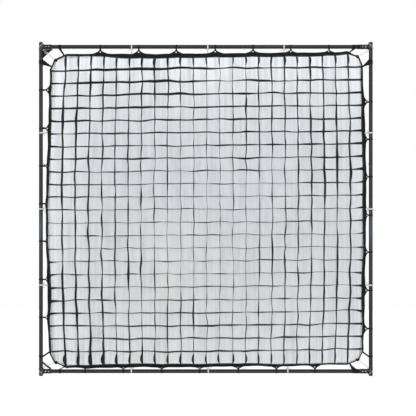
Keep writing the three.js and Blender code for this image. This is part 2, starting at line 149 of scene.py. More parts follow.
TUBE_Y = middle("top_rail_long").y
RAIL_AXIS = middle("top_rail_long").z
POST_AXIS = middle("right_post_long").x
HALF = CAD_HIGH.z
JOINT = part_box("top_rail_long")[1].x + GAP / 2
RAIL_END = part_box("top_rail_short")[1].x
POST_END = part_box("left_post_short")[1].z
BORE = TUBE_RADIUS - TUBE_WALL
BEND = BORDER_HALF - CORNER_LEG  # where the cut-off corners start
KNOT = BORDER_HALF - CORNER_PULL  # where the corner knots are
TEXTILE_BEND = TEXTILE_HALF - TEXTILE_LEG
TEXTILE_KNOT = TEXTILE_HALF - TEXTILE_PULL
STRAP_RING = TUBE_RADIUS + GAP + STRAP_THICKNESS / 2
TIE_RING = TUBE_RADIUS + GAP + TIE_THICKNESS / 2

# How far each strap has slipped along its side from the even pitch, in millimetres.
STRAP_SLIP = {
    "top": (7, 10, 6, 14, 11, 9, 11),
    "right": (0, -4, -8, -5, -13, -12, -9),
    "bottom": (-5, 0, 0, 4, 4, 7, 7),
    "left": (-4, -5, -3, -7, -9, -12, -9),
}


class Side:
    """One side of the frame, with its own X along it and its own Z outwards."""

    def __init__(self, name, turn, joint_way, *corners):
        self.name = name
        self.corners = corners  # at its low X and at its high X
        is_rail = name in ("top", "bottom")
        self.tube = "rail" if is_rail else "post"
        self.axis = RAIL_AXIS if is_rail else POST_AXIS
        self.end = RAIL_END if is_rail else POST_END
        self.joint = joint_way * JOINT
        self.place = Matrix.Translation((0, TUBE_Y, 0)) @ Matrix.Rotation(turn, 4, "Y")
        self.turn = self.place.to_3x3()
        self.button = (self.place.inverted() @ middle(f"{name}_snap_button")).x
        self.shift_x = (Matrix.Rotation(-turn, 3, "Y") @ Vector((GRID_SHIFT_X, 0, GRID_SHIFT_Z))).x
        self.straps = [
            STRAP_OFFSET + (i - (STRAP_COUNT - 1) / 2) * STRAP_PITCH + STRAP_SLIP[name][i] * 0.001
            for i in range(STRAP_COUNT)
        ]

    def to_cloth(self, x, z):
        """From the side's own X and Z to the cloth's, both from the middle."""
        return self.turn[0][0] * x + self.turn[0][2] * z, self.turn[2][0] * x + self.turn[2][2] * z

    def own(self, points):
        """World points in the side's own coordinates."""
        return placed(points, self.place.inverted())


SIDES = [
    Side("top", 0, 1, "top_left", "top_right"),
    Side("right", math.pi / 2, -1, "top_right", "bottom_right"),
    Side("bottom", math.pi, -1, "bottom_right", "bottom_left"),
    Side("left", -math.pi / 2, 1, "bottom_left", "top_left"),
]
SIDE = {side.name: side for side in SIDES}
CORNERS = {"top_left": (-1, 1), "top_right": (1, 1), "bottom_left": (-1, -1), "bottom_right": (1, -1)}


# ---- Camera, stage and light ----

CAMERA_DISTANCE = 7.5
VIEW_WIDTH = 3.040  # what the picture spans at the tubes' plane
EYE_X = 0.107
EYE_Z = -0.250
PICTURE_X = 0.0157  # the middle of the picture at the tubes' plane
PICTURE_Z = 0.0074
SENSOR = 36.0
FLOOR_RADIUS = 40.0
FLOOR_DROP = 0.002  # how far the floor lies under the posts' ends
DOME_RADIUS = 38.0
# Name, place, target, width, height, power in watts and colour.
LIGHTS = (
    ("key_light", (0.3, -9.5, 0.1), (EYE_X, TUBE_Y, EYE_Z), 2.6, 2.6, 520, (1, 1, 1)),
    ("left_fill", (-6.0, -7.0, 1.5), (-0.6, 0, 0), 3.0, 4.0, 150, (0.97, 0.98, 1)),
    ("right_fill", (6.0, -7.0, 1.5), (0.6, 0, 0), 3.0, 4.0, 150, (1, 0.99, 0.97)),
    ("back_light", (0, 7.0, 1.0), (0, 0, 0), 6.0, 5.0, 940, (1, 1, 1)),
)

def make_camera():
    data = bpy.data.cameras.new("camera")
    data.sensor_width = SENSOR
    data.lens = SENSOR * CAMERA_DISTANCE / VIEW_WIDTH
    data.shift_x = (PICTURE_X - EYE_X) / VIEW_WIDTH
    data.shift_y = (PICTURE_Z - EYE_Z) / VIEW_WIDTH
    camera = bpy.data.objects.new("camera", data)
    camera.location = (EYE_X, TUBE_Y - CAMERA_DISTANCE, EYE_Z)
    camera.rotation_euler = (math.pi / 2, 0, 0)
    bpy.context.scene.collection.objects.link(camera)
    bpy.context.scene.camera = camera


def area_light(name, place, target, width, height, power, colour):
    data = bpy.data.lights.new(name, "AREA")
    data.shape = "RECTANGLE"
    data.size = width
    data.size_y = height
    data.energy = power
    data.color = colour
    light = bpy.data.objects.new(name, data)
    light.location = place
    light.rotation_mode = "QUATERNION"
    light.rotation_quaternion = (Vector(target) - Vector(place)).to_track_quat("-Z", "Y")
    light.visible_glossy = name != "back_light"
    bpy.context.scene.collection.objects.link(light)


def stage_piece(name, mesh, material_name, base, rough, brightness):
    """A part of the stage, which glows evenly and doesn't light the object."""
    material = bpy.data.materials.new(material_name)
    material.use_nodes = True
    inputs = material.node_tree.nodes["Principled BSDF"].inputs
    inputs["Base Color"].default_value = (base, base, base, 1)
    inputs["Roughness"].default_value = rough
    inputs["Emission Color"].default_value = (1, 1, 1, 1)
    inputs["Emission Strength"].default_value = brightness
    mesh.materials.append(material)
    made = bpy.data.objects.new(name, mesh)
    bpy.context.scene.collection.objects.link(made)
    made.visible_diffuse = False
    made.visible_glossy = False
    made.visible_transmission = False
    return made


def make_stage():
    """A white floor and a white dome round it."""
    floor_mesh = bpy.data.meshes.new("stage_floor")
    rim = [(FLOOR_RADIUS * math.cos(a), FLOOR_RADIUS * math.sin(a), 0)
           for a in np.linspace(0, 2 * math.pi, 64, endpoint=False)]
    floor_mesh.from_pydata(rim, [], [list(range(len(rim)))])
    floor = stage_piece("stage_floor", floor_mesh, "stage_white", 0.04, 0.9, 0.97)
    floor.location.z = CAD_LOW.z - FLOOR_DROP

    dome_mesh = bpy.data.meshes.new("stage_dome")
    shape = bmesh.new()
    bmesh.ops.create_uvsphere(shape, u_segments=48, v_segments=24, radius=DOME_RADIUS)
    shape.to_mesh(dome_mesh)
    shape.free()
    dome = stage_piece("stage_dome", dome_mesh, "stage_glow", 0.0, 0.5, 0.985)
    dome.visible_shadow = False


def make_light():
    scene = bpy.context.scene
    scene.view_settings.view_transform = "Standard"
    world = bpy.data.worlds.new("world")
    scene.world = world
    world.use_nodes = True
    background = world.node_tree.nodes["Background"]
    background.inputs["Color"].default_value = (0.95, 0.97, 1, 1)
    background.inputs["Strength"].default_value = 0.16
    for light in LIGHTS:
        area_light(*light)


make_camera()
make_stage()
make_light()


# ---- Node materials ----


class Surface:
    """A Principled material whose colour, roughness and bump come from nodes in object coordinates."""

    def __init__(self, name):
        self.material = bpy.data.materials.new(name)
        self.material.use_nodes = True
        self.tree = self.material.node_tree
        self.shader = self.tree.nodes["Principled BSDF"]
        self.coordinates = self.node("TexCoord", "Object")

    def feed(self, node, **inputs):
        """Fills a node's inputs by name, with _ for a space and a leading _ for a number."""
        for name, value in inputs.items():
            socket = node.inputs[int(name[1:]) if name[0] == "_" else name.replace("_", " ")]
            if isinstance(value, bpy.types.NodeSocket):
                self.tree.links.new(value, socket)
            else:
                socket.default_value = value

    def node(self, kind, output, settings=None, **inputs):
        """Adds a node and gives one of its outputs."""
        made = self.tree.nodes.new("ShaderNode" + kind)
        for name, value in (settings or {}).items():
            setattr(made, name, value)
        self.feed(made, **inputs)
        return made.outputs[output]

    def set(self, **inputs):
        self.feed(self.shader, **inputs)

    def stretched(self, scale):
        return self.node("Mapping", "Vector", Vector=self.coordinates, Scale=scale)

    def noise(self, scale, detail=4.0, rough=0.6, vector=None):
        vector = vector or self.coordinates
        return self.node("TexNoise", "Fac", Vector=vector, Scale=scale, Detail=detail, Roughness=rough)

    def wave(self, scale, direction):
        settings = {"wave_type": "BANDS", "bands_direction": direction, "wave_profile": "SIN"}
        inputs = {"Vector": self.coordinates, "Scale": scale, "Distortion": 0.4, "Detail": 1.0}
        return self.node("TexWave", "Fac", settings, **inputs)

    def maths(self, operation, first, second=0.0):
        return self.node("Math", 0, {"operation": operation}, _0=first, _1=second)

    def times(self, first, second):
        return self.maths("MULTIPLY", first, second)

    def spread(self, value, low, high, to_low, to_high):
        inputs = {"From_Min": low, "From_Max": high, "To_Min": to_low, "To_Max": to_high}
        return self.node("MapRange", "Result", Value=value, **inputs)

    def blend(self, factor, first, second):
        return self.node("Mix", 2, {"data_type": "RGBA"}, Factor=factor, _6=first, _7=second)

    def bump(self, height, distance, strength=0.5):
        return self.node("Bump", "Normal", Height=height, Distance=distance, Strength=strength)


def grey(value, blue=0.0):
    return (value, value * (1 + blue * 0.6), value * (1 + blue), 1)


def tube_material(name, scratch_scale, painted_highlight=0.0):
    """Satin black with scratches along the tube and dull patches. The last argument sets a painted highlight:
    a pale blue-grey band at mid-height.
    """
    s = Surface(name)
    patches = s.noise(7.0, 5.0)
    scratches = s.noise(1.0, 3.0, 0.8, s.stretched(scratch_scale))
    worn = s.spread(scratches, 0.62, 0.78, 0.0, 1.0)
    colour = s.blend(patches, grey(0.017, 0.16), grey(0.032, 0.12))
    colour = s.blend(s.times(worn, 0.45), colour, grey(0.11, 0.05))
    if painted_highlight:
        # Painted highlight: a pale blue-grey band round Z = -0.16, with ragged edges from the patches.
        height = s.node("SeparateXYZ", "Z", Vector=s.coordinates)
        away = s.maths("ABSOLUTE", s.maths("ADD", height, 0.16))
        highlight_band = s.spread(s.maths("ADD", away, s.times(patches, 0.08)), 0.08, 0.22, painted_highlight, 0.0)
        colour = s.blend(highlight_band, colour, (0.07, 0.085, 0.115, 1))
    rough = s.spread(s.maths("ADD", patches, scratches), 0.7, 1.3, 0.42, 0.62)
    s.set(Base_Color=colour, Roughness=rough, Metallic=0.25, Specular_IOR_Level=0.42)
    s.set(Normal=s.bump(scratches, 0.0003, 0.35))
    return s.material


def cast_material():
    """Powder coat: an orange-peel skin, paler where edges rub."""
    s = Surface("black_casting")
    peel = s.noise(900.0, 2.0)
    patches = s.noise(40.0, 4.0)
    edges = s.node("NewGeometry", "Pointiness")
    rubbed = s.spread(edges, 0.52, 0.6, 0.0, 0.5)
    colour = s.blend(patches, grey(0.016, 0.12), grey(0.03, 0.1))
    s.set(Base_Color=s.blend(rubbed, colour, grey(0.12)), Roughness=s.spread(patches, 0.3, 0.7, 0.45, 0.65))
    s.set(Normal=s.bump(peel, 0.0003, 0.4))
    return s.material


def metal_material(name, value, rough, scale):
    s = Surface(name)
    grain = s.noise(scale, 3.0)
    smudges = s.noise(60.0, 4.0)
    s.set(Base_Color=s.blend(smudges, grey(value * 0.82), grey(value, 0.02)), Metallic=1.0)
    s.set(Roughness=s.spread(smudges, 0.3, 0.7, rough, rough + 0.18), Normal=s.bump(grain, 0.0001, 0.3))
    return s.material


def plastic_material():
    s = Surface("black_plastic")
    spark = s.noise(1400.0, 2.0)
    scuffs = s.noise(90.0, 6.0, 0.7)
    colour = s.blend(s.spread(scuffs, 0.55, 0.8, 0.0, 1.0), grey(0.014, 0.1), grey(0.06))
    s.set(Base_Color=colour, Roughness=s.spread(scuffs, 0.3, 0.7, 0.42, 0.6))
    s.set(Normal=s.bump(spark, 0.0002, 0.4))
    return s.material


def woven(surface, scale, distance):
    """Threads in X, Y and Z, so that a piece has its weave whichever way it lies."""
    over, under, deep = (surface.wave(scale, direction) for direction in "XZY")
    weave = surface.times(surface.maths("ADD", over, deep), surface.maths("ADD", under, deep))
    return weave, surface.bump(weave, distance, 0.6)


def cloth_material(name, dark, light, scale, distance, sheen):
    s = Surface(name)
    weave, normal = woven(s, scale, distance)
    fade = s.noise(6.0, 5.0)
    lint = s.spread(s.noise(700.0, 2.0), 0.68, 0.8, 0.0, 0.35)
    colour = s.blend(s.times(weave, 0.4), dark, light)
    colour = s.blend(s.spread(fade, 0.45, 0.75, 0.0, 0.5), colour, light)
    colour = s.blend(s.times(lint, 0.3), colour, grey(light[0] * 2.2 + 0.02))
    s.set(Base_Color=colour, Roughness=0.9, Specular_IOR_Level=0.2, Normal=normal)
    s.set(Sheen_Weight=sheen, Sheen_Roughness=0.5)
    return s.material


def textile_material():
    """A fine weave with upright streaks and warm patches, and painted light that makes it paler towards its
    edges. Light comes through.
    """
    s = Surface("white_textile")
    weave, normal = woven(s, 260.0, 0.0002)
    streaks = s.noise(1.0, 4.0, 0.6, s.stretched((46.0, 1.0, 1.6)))
    patches = s.noise(1.3, 3.0)
    place = s.node("SeparateXYZ", "X", Vector=s.coordinates).node.outputs
    top, foot = s.spread(place["Z"], 0, 1.13, 0, 1), s.spread(place["Z"], 0, -1.13, 0, 1)
    left, right = s.spread(place["X"], 0, -1.14, 0, 1), s.spread(place["X"], 0, 1.15, 0, 1)
    # Painted light: paler near the edges, most at the top, then the left, the foot and the right, as if lit
    # from round its rim.
    painted_edge_light = 0.0
    for nearness, power, share in ((top, 3.0, 0.85), (foot, 3.0, 0.45), (left, 5.0, 0.6), (right, 5.0, 0.3)):
        painted_edge_light = s.maths("ADD", painted_edge_light, s.times(s.maths("POWER", nearness, power), share))
    colour = s.blend(painted_edge_light, (0.735, 0.75, 0.765, 1), (0.93, 0.94, 0.95, 1))
    warm = s.spread(s.maths("SUBTRACT", patches, s.times(place["Z"], 0.12)), 0.45, 0.8, 0.0, 0.5)
    colour = s.blend(warm, colour, (0.82, 0.8, 0.77, 1))
    colour = s.blend(s.spread(streaks, 0.42, 0.66, 0.0, 0.6), colour, (0.62, 0.635, 0.655, 1))
    colour = s.blend(s.times(weave, 0.12), colour, (0.9, 0.9, 0.92, 1))
    s.set(Base_Color=colour, Roughness=0.95, Specular_IOR_Level=0.15, Sheen_Weight=0.1, Normal=normal)
    through = s.node("BsdfTranslucent", "BSDF", Color=colour, Normal=normal)
    mixed = s.node("MixShader", "Shader", Fac=0.7, _1=s.shader.outputs[0], _2=through)
    s.feed(s.tree.nodes["Material Output"], Surface=mixed)
    return s.material


WEBBING = (grey(0.007, 0.2), grey(0.018, 0.15), 190.0, 0.0004, 0.06)
RIPSTOP = (grey(0.004, 0.3), grey(0.012, 0.2), 420.0, 0.0002, 0.05)
MATERIALS = {
    "rail_black": tube_material("rail_black", (3.0, 260.0, 260.0)),
    # The posts get a painted highlight band at mid-height.
    "post_black": tube_material("post_black", (260.0, 260.0, 3.0), 0.8),
    "bare_aluminium": metal_material("bare_aluminium", 0.62, 0.3, 500.0),
    "black_casting": cast_material(),
    "bright_steel": metal_material("bright_steel", 0.66, 0.24, 900.0),
    "black_plastic": plastic_material(),
    "black_webbing": cloth_material("black_webbing", *WEBBING),
    "grid_fabric": cloth_material("grid_fabric", *RIPSTOP),
    "white_textile": textile_material(),
    "white_tape": cloth_material("white_tape", grey(0.7), grey(0.84), 260.0, 0.0003, 0.1),
    "white_thread": cloth_material("white_thread", grey(0.6), grey(0.75), 900.0, 0.0001, 0.1),
}


# ---- Shapes: each is (points, faces) ----


def unit(vectors):
    vectors = np.asarray(vectors, float)
    return vectors / np.maximum(np.linalg.norm(vectors, axis=-1, keepdims=True), 1e-12)


def points_at(x, y, z):
    """Points from their three coordinates, each an array or one number for all."""
    return np.stack(np.broadcast_arrays(*(np.asarray(values, float) for values in (x, y, z))), -1)


def around(count):
    """Angles evenly round a circle."""
    return np.arange(count) * 2 * math.pi / count


def about_x(x, radius, angles, axis=0.0):
    """Points round a line along X, at a height of axis."""
    return points_at(x, radius * np.cos(angles), axis + radius * np.sin(angles))


def joined(shapes):
    points, faces, start = [], [], 0
    for shape_points, shape_faces in shapes:
        points.append(np.asarray(shape_points, float))
        faces.extend([tuple(i + start for i in face) for face in shape_faces])
        start += len(shape_points)
    return np.concatenate(points), faces


def placed(points, matrix):
    m = np.array(matrix, float)
    return np.asarray(points, float) @ m[:3, :3].T + m[:3, 3]


def moved(shape, matrix):
    return placed(shape[0], matrix), shape[1]


def shifted(shape, x, y, z, turn=0.0):
    """The shape turned about Y, then moved."""
    return moved(shape, Matrix.Translation((x, y, z)) @ Matrix.Rotation(turn, 4, "Y"))


def ring_faces(rings, around, closed):
    """Quads between rings of points in a row, with end caps where it isn't closed."""
    faces = []
    for i in range(rings if closed else rings - 1):
        a, b = i * around, ((i + 1) % rings) * around
        faces += [(a + k, a + (k + 1) % around, b + (k + 1) % around, b + k) for k in range(around)]
    if not closed:
        faces.append(tuple(range(around)))
        faces.append(tuple((rings - 1) * around + k for k in reversed(range(around))))
    return faces


def turned(profile, sides=TUBE_SIDES, closed=False):
    """A profile of (place along X, radius) turned about X. A closed one goes round a hollow."""
    rings = [about_x(x, radius, around(sides)) for x, radius in profile]
    return np.concatenate(rings), ring_faces(len(profile), sides, closed)


def domed(tip, height, rim, inset):
    """A quarter round in a turned profile, which rises by height and narrows by inset from its rim."""
    return [(tip - height + height * math.sin(a), rim - inset + inset * math.cos(a))
            for a in np.linspace(0, math.pi / 2, 8)]


def sweep(path, profile, across=None, closed=False):
    """A profile of (across, through) carried along a path. across is the direction of its width."""
    path = np.asarray(path, float)
    ahead = unit(np.roll(path, -1, 0) - path)
    behind = unit(path - np.roll(path, 1, 0))
    if not closed:
        ahead[-1] = behind[-1]
        behind[0] = ahead[0]
    along = unit(ahead + behind)
    if across is None:
        side = unit(np.cross(along[0], (0.31, 0.87, 0.37)))
        sides = []
        for direction in along:
            side = unit(side - direction * (side @ direction))
            sides.append(side)
        sides = np.array(sides)
    else:
        sides = np.broadcast_to(np.asarray(across, float), path.shape)
        sides = unit(sides - along * (sides * along).sum(1, keepdims=True))
    normals = np.cross(along, sides)
    profile = np.asarray(profile, float)
    rings = path[:, None] + profile[None, :, :1] * sides[:, None] + profile[None, :, 1:] * normals[:, None]
    return rings.reshape(-1, 3), ring_faces(len(path), len(profile), closed)


def round_profile(radius, sides):
    return about_x(0, radius, around(sides))[:, 1:]


def strap_profile(width, thickness):
    """A flat section with rounded edges."""
    half, edge = width / 2, thickness / 2
    right = [(half - edge + edge * math.cos(a), edge * math.sin(a)) for a in np.linspace(-1.2, 1.2, 5)]
    left = [(-x, -y) for x, y in right]
    return right + [(0, edge)] + left + [(0, -edge)]


def shell(grid, thickness):
    """A closed skin round a grid of points. thickness may differ from point to point."""
    grid = np.asarray(grid, float)
    rows, columns = grid.shape[:2]
    normal = unit(np.cross(np.gradient(grid, axis=0), np.gradient(grid, axis=1)))
    half = np.broadcast_to(np.asarray(thickness, float), (rows, columns))[..., None] / 2
    points = np.concatenate([(grid + normal * half).reshape(-1, 3), (grid - normal * half).reshape(-1, 3)])
    under = rows * columns
    faces = []
    for i in range(rows - 1):
        for a in range(i * columns, (i + 1) * columns - 1):
            faces.append((a, a + columns, a + columns + 1, a + 1))
            faces.append((a + 1 + under, a + columns + 1 + under, a + columns + under, a + under))
    rim = [*range(columns), *range(2 * columns - 1, under, columns)]
    rim += [*range(under - 2, under - columns - 1, -1), *range(under - 2 * columns, 0, -columns)]
    for a, b in zip(rim, rim[1:] + rim[:1]):
        faces.append((a, b, b + under, a + under))
    return points, faces


def curved(points, steps=6):
    """A smooth line through the points."""
    p = np.asarray(points, float)
    p = np.concatenate([[2 * p[0] - p[1]], p, [2 * p[-1] - p[-2]]])
    line = []
    for a, b, c, d in zip(p[:-3], p[1:-2], p[2:-1], p[3:]):
        for t in np.arange(steps) / steps:
            line.append(0.5 * (2 * b + (c - a) * t + (2 * a - 5 * b + 4 * c - d) * t * t
                               + (3 * b - a - 3 * c + d) * t ** 3))
    line.append(p[-2])
    return np.array(line)


def rounded(corners, radius, steps):
    """A polyline in a plane with its inner corners rounded off."""
    p = np.asarray(corners, float)
    line = [p[0]]
    for a, b, c in zip(p[:-2], p[1:-1], p[2:]):
        back, on = unit(a - b) * radius, unit(c - b) * radius
        for t in np.linspace(0, 1, steps):
            line.append(b + back * (1 - t) ** 2 + on * t ** 2)
    line.append(p[-1])
    return np.array(line)


def bare_object(shape):
    points, faces = shape
    mesh = bpy.data.meshes.new("shape")
    mesh.from_pydata(np.asarray(points, float).tolist(), [], [list(face) for face in faces])
    fixed = bmesh.new()
    fixed.from_mesh(mesh)
    bmesh.ops.recalc_face_normals(fixed, faces=fixed.faces)
    fixed.to_mesh(mesh)
    fixed.free()
    made = bpy.data.objects.new("shape", mesh)
    bpy.context.scene.collection.objects.link(made)
    return made


def carved(shape, tools, operation="DIFFERENCE"):
    """The shape cut by each tool, or joined to it."""
    target = bare_object(shape)
    helpers = [bare_object(tool) for tool in tools]
    for helper in helpers:
        modifier = target.modifiers.new("carve", "BOOLEAN")
        modifier.operation = operation
        modifier.object = helper
        modifier.solver = "EXACT"
    bpy.context.view_layer.update()
    result = target.evaluated_get(bpy.context.evaluated_depsgraph_get()).to_mesh()
    points = np.array([v.co for v in result.vertices], float)
    faces = [tuple(p.vertices) for p in result.polygons]
    for helper in [target, *helpers]:
        bpy.data.objects.remove(helper)
    return points, faces


def piece(name, shapes, material, body="frame", replaces=(), smooth=40):
    """One visible object of closed shapes, with its material, on its body."""
    made = bare_object(joined(shapes))
    made.name = name
    made.data.name = name
    made.data.polygons.foreach_set("use_smooth", [True] * len(made.data.polygons))
    made.data.set_sharp_from_angle(angle=math.radians(smooth))
    made.data.materials.append(MATERIALS[material])
    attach(made, body)
    if replaces:
        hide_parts(*replaces)
    return made


def on_side(side, shapes):
    return [moved(shape, side.place) for shape in shapes]


def at_tube(side, shape):
    """Moves a shape turned about X onto the axis of a side's tube."""
    return moved(shape, side.place @ Matrix.Translation((0, 0, side.axis)))


# ---- Tubes, joints and snap buttons ----


def pipe(outer, inner, start, end, waists=()):
    """A tube along X. Rings at the waists keep a hole's cut short."""
    outside = [(start, outer - EDGE), (start + EDGE, outer)]
    outside += [(x, outer) for x in waists]
    outside += [(end - EDGE, outer), (end, outer - EDGE)]
    inside = [(end, inner)] + [(x, inner) for x in reversed(waists)] + [(start, inner)]
    return turned(outside + inside, closed=True)


def peg(radius, x, depth):
    """A short bar from the tube's axis out through its wall, towards the panel's middle."""
    return shifted(turned([(0, radius), (depth, radius)], 24), x, 0, 0, math.pi / 2)


def make_tubes(side):
    button_hole = peg(BUTTON_HOLE_RADIUS, side.button, TUBE_RADIUS + 0.002)
    waists = (side.button - HOLE_WAIST, side.button + HOLE_WAIST)
    for start, end in ((-side.end, side.joint - GAP / 2), (side.joint + GAP / 2, side.end)):
        name = f"{side.name}_{side.tube}_{'long' if end - start > HALF else 'short'}"
        if start < side.button < end:
            tube = carved(pipe(TUBE_RADIUS, BORE, start, end, waists), [button_hole])
        else:
            tube = pipe(TUBE_RADIUS, BORE, start, end)
        piece(f"{name}_tube", [at_tube(side, tube)], f"{side.tube}_black", replaces=[name])
    outer = BORE - GAP
    start, end = side.joint - SLEEVE_LENGTH / 2, side.joint + SLEEVE_LENGTH / 2
    sleeve = carved(pipe(outer, outer - SLEEVE_WALL, start, end, waists), [button_hole])
    name = f"{side.name}_joint_sleeve"
    piece(f"{name}_tube", [at_tube(side, sleeve)], "bare_aluminium", replaces=[name])


def make_button(side):
    tip = TUBE_RADIUS + BUTTON_PROUD
    bevel = 0.0003
    profile = [(FLANGE_BASE, FLANGE_RADIUS - bevel), (FLANGE_BASE + bevel, FLANGE_RADIUS)]
    profile += [(FLANGE_TOP - bevel, FLANGE_RADIUS), (FLANGE_TOP, FLANGE_RADIUS - bevel)]
    profile += [(FLANGE_TOP, BUTTON_RADIUS), *domed(tip, 0.002, BUTTON_RADIUS, 0.0022), (tip, 0.0004)]
    button = shifted(turned(profile, 32), side.button, 0, side.axis, math.pi / 2)
    body = f"{side.name}_button"
    piece(f"{body}_domed", on_side(side, [button]), "bright_steel", body, [f"{side.name}_snap_button"], 35)


def make_spring(side):
    away = math.copysign(1, side.button - side.joint)
    bend_depth, bend_height = 0.003, 0.0018
    bend = SPRING_BEND - bend_depth
    arc = [(bend + bend_depth * math.cos(a), bend_height * math.sin(a)) for a in np.linspace(-1.3, 1.3, 9)]
    line = [(-SPRING_TIP, -BUTTON_LEG), (SPRING_TIP, -BUTTON_LEG), *arc]
    line += [(SPRING_TIP, FAR_LEG), (-SPRING_TIP, FAR_LEG)]
    path = rounded([(side.button + x * away, 0, side.axis + z) for x, z in line], 0.0008, 3)
    strip = sweep(path, strap_profile(SPRING_WIDTH, SPRING_STRIP), (0, 1, 0))
    name = f"{side.name}_button_spring"
    spring = piece(f"{name}_strip", on_side(side, [strip]), "bright_steel", replaces=[name])
    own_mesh(spring)


# ---- Corner fittings, screws and end caps ----


def fitting_shape():
    """The right-hand fitting, with the rail's axis on X and the post's at X = POST_AXIS."""
    bore = TUBE_RADIUS + GAP
    radius = bore + SADDLE_WALL / 2
    angles = np.linspace(math.radians(88), math.radians(272), 49)
    heights = np.linspace(-SADDLE_HEIGHT / 2, SADDLE_HEIGHT / 2, 9)
    grid = [[(POST_AXIS + radius * math.cos(a), radius * math.sin(a), z) for z in heights] for a in angles]
    mouth = HALF - SOCKET_REACH
    lip_width, weld_run, weld_rise, core = 0.0055, 0.008, 0.0042, 0.002
    outer = bore + SOCKET_WALL
    lip = outer + SOCKET_LIP
    root = POST_AXIS - TUBE_RADIUS - SADDLE_WALL
    profile = [(mouth, core), (mouth, lip - EDGE), (mouth + EDGE, lip)]
    profile += [(mouth + lip_width, lip), (mouth + lip_width + 0.001, outer)]
    profile += [(root - weld_run * (1 - t), outer + weld_rise * t * t) for t in np.linspace(0, 1, 7)]
    profile += [(POST_AXIS - 0.004, outer + weld_rise), (POST_AXIS - 0.004, core)]
    body = carved(shell(grid, SADDLE_WALL), [turned(profile)], "UNION")
    post = shifted(turned([(-0.06, bore), (0.06, bore)]), POST_AXIS, 0, 0, math.pi / 2)
    rail = turned([(mouth - 0.01, bore), (RAIL_END + GAP, bore)])
    return carved(body, [post, rail])


def screw_shape():
    """A pan-head screw with a cross recess. Its axis is X and its head faces +X."""
    under = TUBE_RADIUS + GAP + SOCKET_WALL + GAP
    height, radius, shank, bevel = 0.0026, 0.0042, 0.0024, 0.0002
    top = under + height
    profile = [(BORE - 0.002, 0.0018), (BORE - 0.0014, shank), (under, shank), (under, radius - bevel)]
    profile += [(under + bevel, radius), *domed(top, height * 0.65, radius, radius * 0.45), (top, 0.0006)]
    foot, mouth = top - 0.0016, top + 0.001
    wing = [(foot, -0.0006), (foot, 0.0006), (mouth, 0.0018), (mouth, -0.0018)]
    points = np.array([(x, y, z) for z in (-0.0005, 0.0005) for x, y in wing])
    faces = [(0, 1, 2, 3), (7, 6, 5, 4), (0, 4, 5, 1), (1, 5, 6, 2), (2, 6, 7, 3), (3, 7, 4, 0)]
    cuts = [moved((points, faces), Matrix.Rotation(turn, 4, "X")) for turn in (0, math.pi / 2)]
    return carved(turned(profile, 32), cuts)


def cap_shape():
    """A plug for a post's end, along X, with a dished head and gripping ribs on its stem."""
    inner = BORE - GAP
    valley = inner - 0.0008
    edge, bevel, dish = 0.003, 0.0002, 0.0006
    profile = [(-CAP_STEM, inner - 0.002)]
    for i in range(3):
        x = -CAP_STEM + 0.002 + i * 0.0036
        profile += [(x, valley), (x + 0.0006, inner), (x + 0.0018, inner), (x + 0.0024, valley)]
    profile += [(GAP, valley), (GAP, TUBE_RADIUS - bevel), (GAP + bevel, TUBE_RADIUS)]
    profile += domed(CAP_HEAD, edge, TUBE_RADIUS, edge)
    profile += [(CAP_HEAD, 0.0045), (CAP_HEAD - dish, 0.0035), (CAP_HEAD - dish, 0.0005)]
    return turned(profile, 48)


def make_corners():
    fitting, screw, cap = fitting_shape(), screw_shape(), cap_shape()
    for corner, (x, z) in CORNERS.items():
        place = Matrix.Translation((0, TUBE_Y, z * RAIL_AXIS)) @ Matrix.Diagonal((x, 1, 1, 1))
        name = f"{corner}_corner_fitting"
        piece(f"{name}_cast", [moved(fitting, place)], "black_casting", replaces=[name], smooth=50)
        for inset, which in zip(SCREW_PLACES, ("outer", "inner")):
            spot = Matrix.Translation((x * (HALF - inset), TUBE_Y, z * RAIL_AXIS))
            turn = Matrix.Rotation(-math.pi / 2, 4, "Z") @ Matrix.Rotation(0.7 + inset * 30 * x, 4, "X")
            name = f"{corner}_screw_{which}"
            piece(f"{name}_pan_head", [moved(screw, spot @ turn)], "bright_steel", replaces=[name], smooth=35)
        name = f"{corner}_end_cap"
        plug = shifted(cap, x * POST_AXIS, TUBE_Y, z * POST_END, -z * math.pi / 2)
        piece(f"{name}_plug", [plug], "black_plastic", replaces=[name], smooth=35)


# ---- How the cloth hangs ----


def bow(x, z):
    """How far the slack grid has moved from its flat pattern, in metres. Its sides belly out at
    mid-height, its corners pull in and its rows climb to the right."""
    u, v = x / BORDER_HALF, z / BORDER_HALF
    aside = u * ((11.5 - 5.5 * u) * (1 - v * v) - 17 * v * v)
    above, below = np.maximum(v, 0), np.maximum(-v, 0)
    leftness, rightness = (1 - u) / 2, np.maximum(u, 0)
    lift = 8 * u - 16 * above * leftness ** 3 - below * (7 * (1 - u * u) - 6 * rightness ** 2)
    return aside * 0.001, lift * 0.001


def cloth_points(x, y, z):
    """Points of the grid's pattern where they hang in the frame."""
    aside, lift = bow(np.asarray(x, float), np.asarray(z, float))
    return points_at(x + aside + GRID_SHIFT_X, y + TUBE_Y, z + lift + GRID_SHIFT_Z)


def side_cloth_points(side, x, y, z):
    """The same for places in a side's own X and Z."""
    cloth_x, cloth_z = side.to_cloth(x, z)
    return cloth_points(cloth_x, y, cloth_z)


# Evenly spaced along each side, in millimetres: how far inside the pattern's line the border hangs, and
# how far its flat edging reaches out.
BORDER_HANGS_IN = {
    "top": (0, 2, 26, 28, 28, 27, 27, 25, 8),
    "right": (0, 3, 9, 2, 7, 0, 10, -3, -6),
    "bottom": (2, 6, 7, 18, 17, 18, 20, 11, 3),
    "left": (-6, -10, 10, -4, -6, 1, 9, 0, -6),
}
EDGING_WIDTH = {
    "top": (15, 17, 34, 31, 31, 29, 29, 27, 17),
    "right": (9, 17, 28, 22, 27, 17, 26, 16, 8),
    "bottom": (9, 11, 16, 20, 24, 25, 26, 24, 10),
    "left": (13, 16, 27, 15, 15, 18, 22, 16, 12),
}
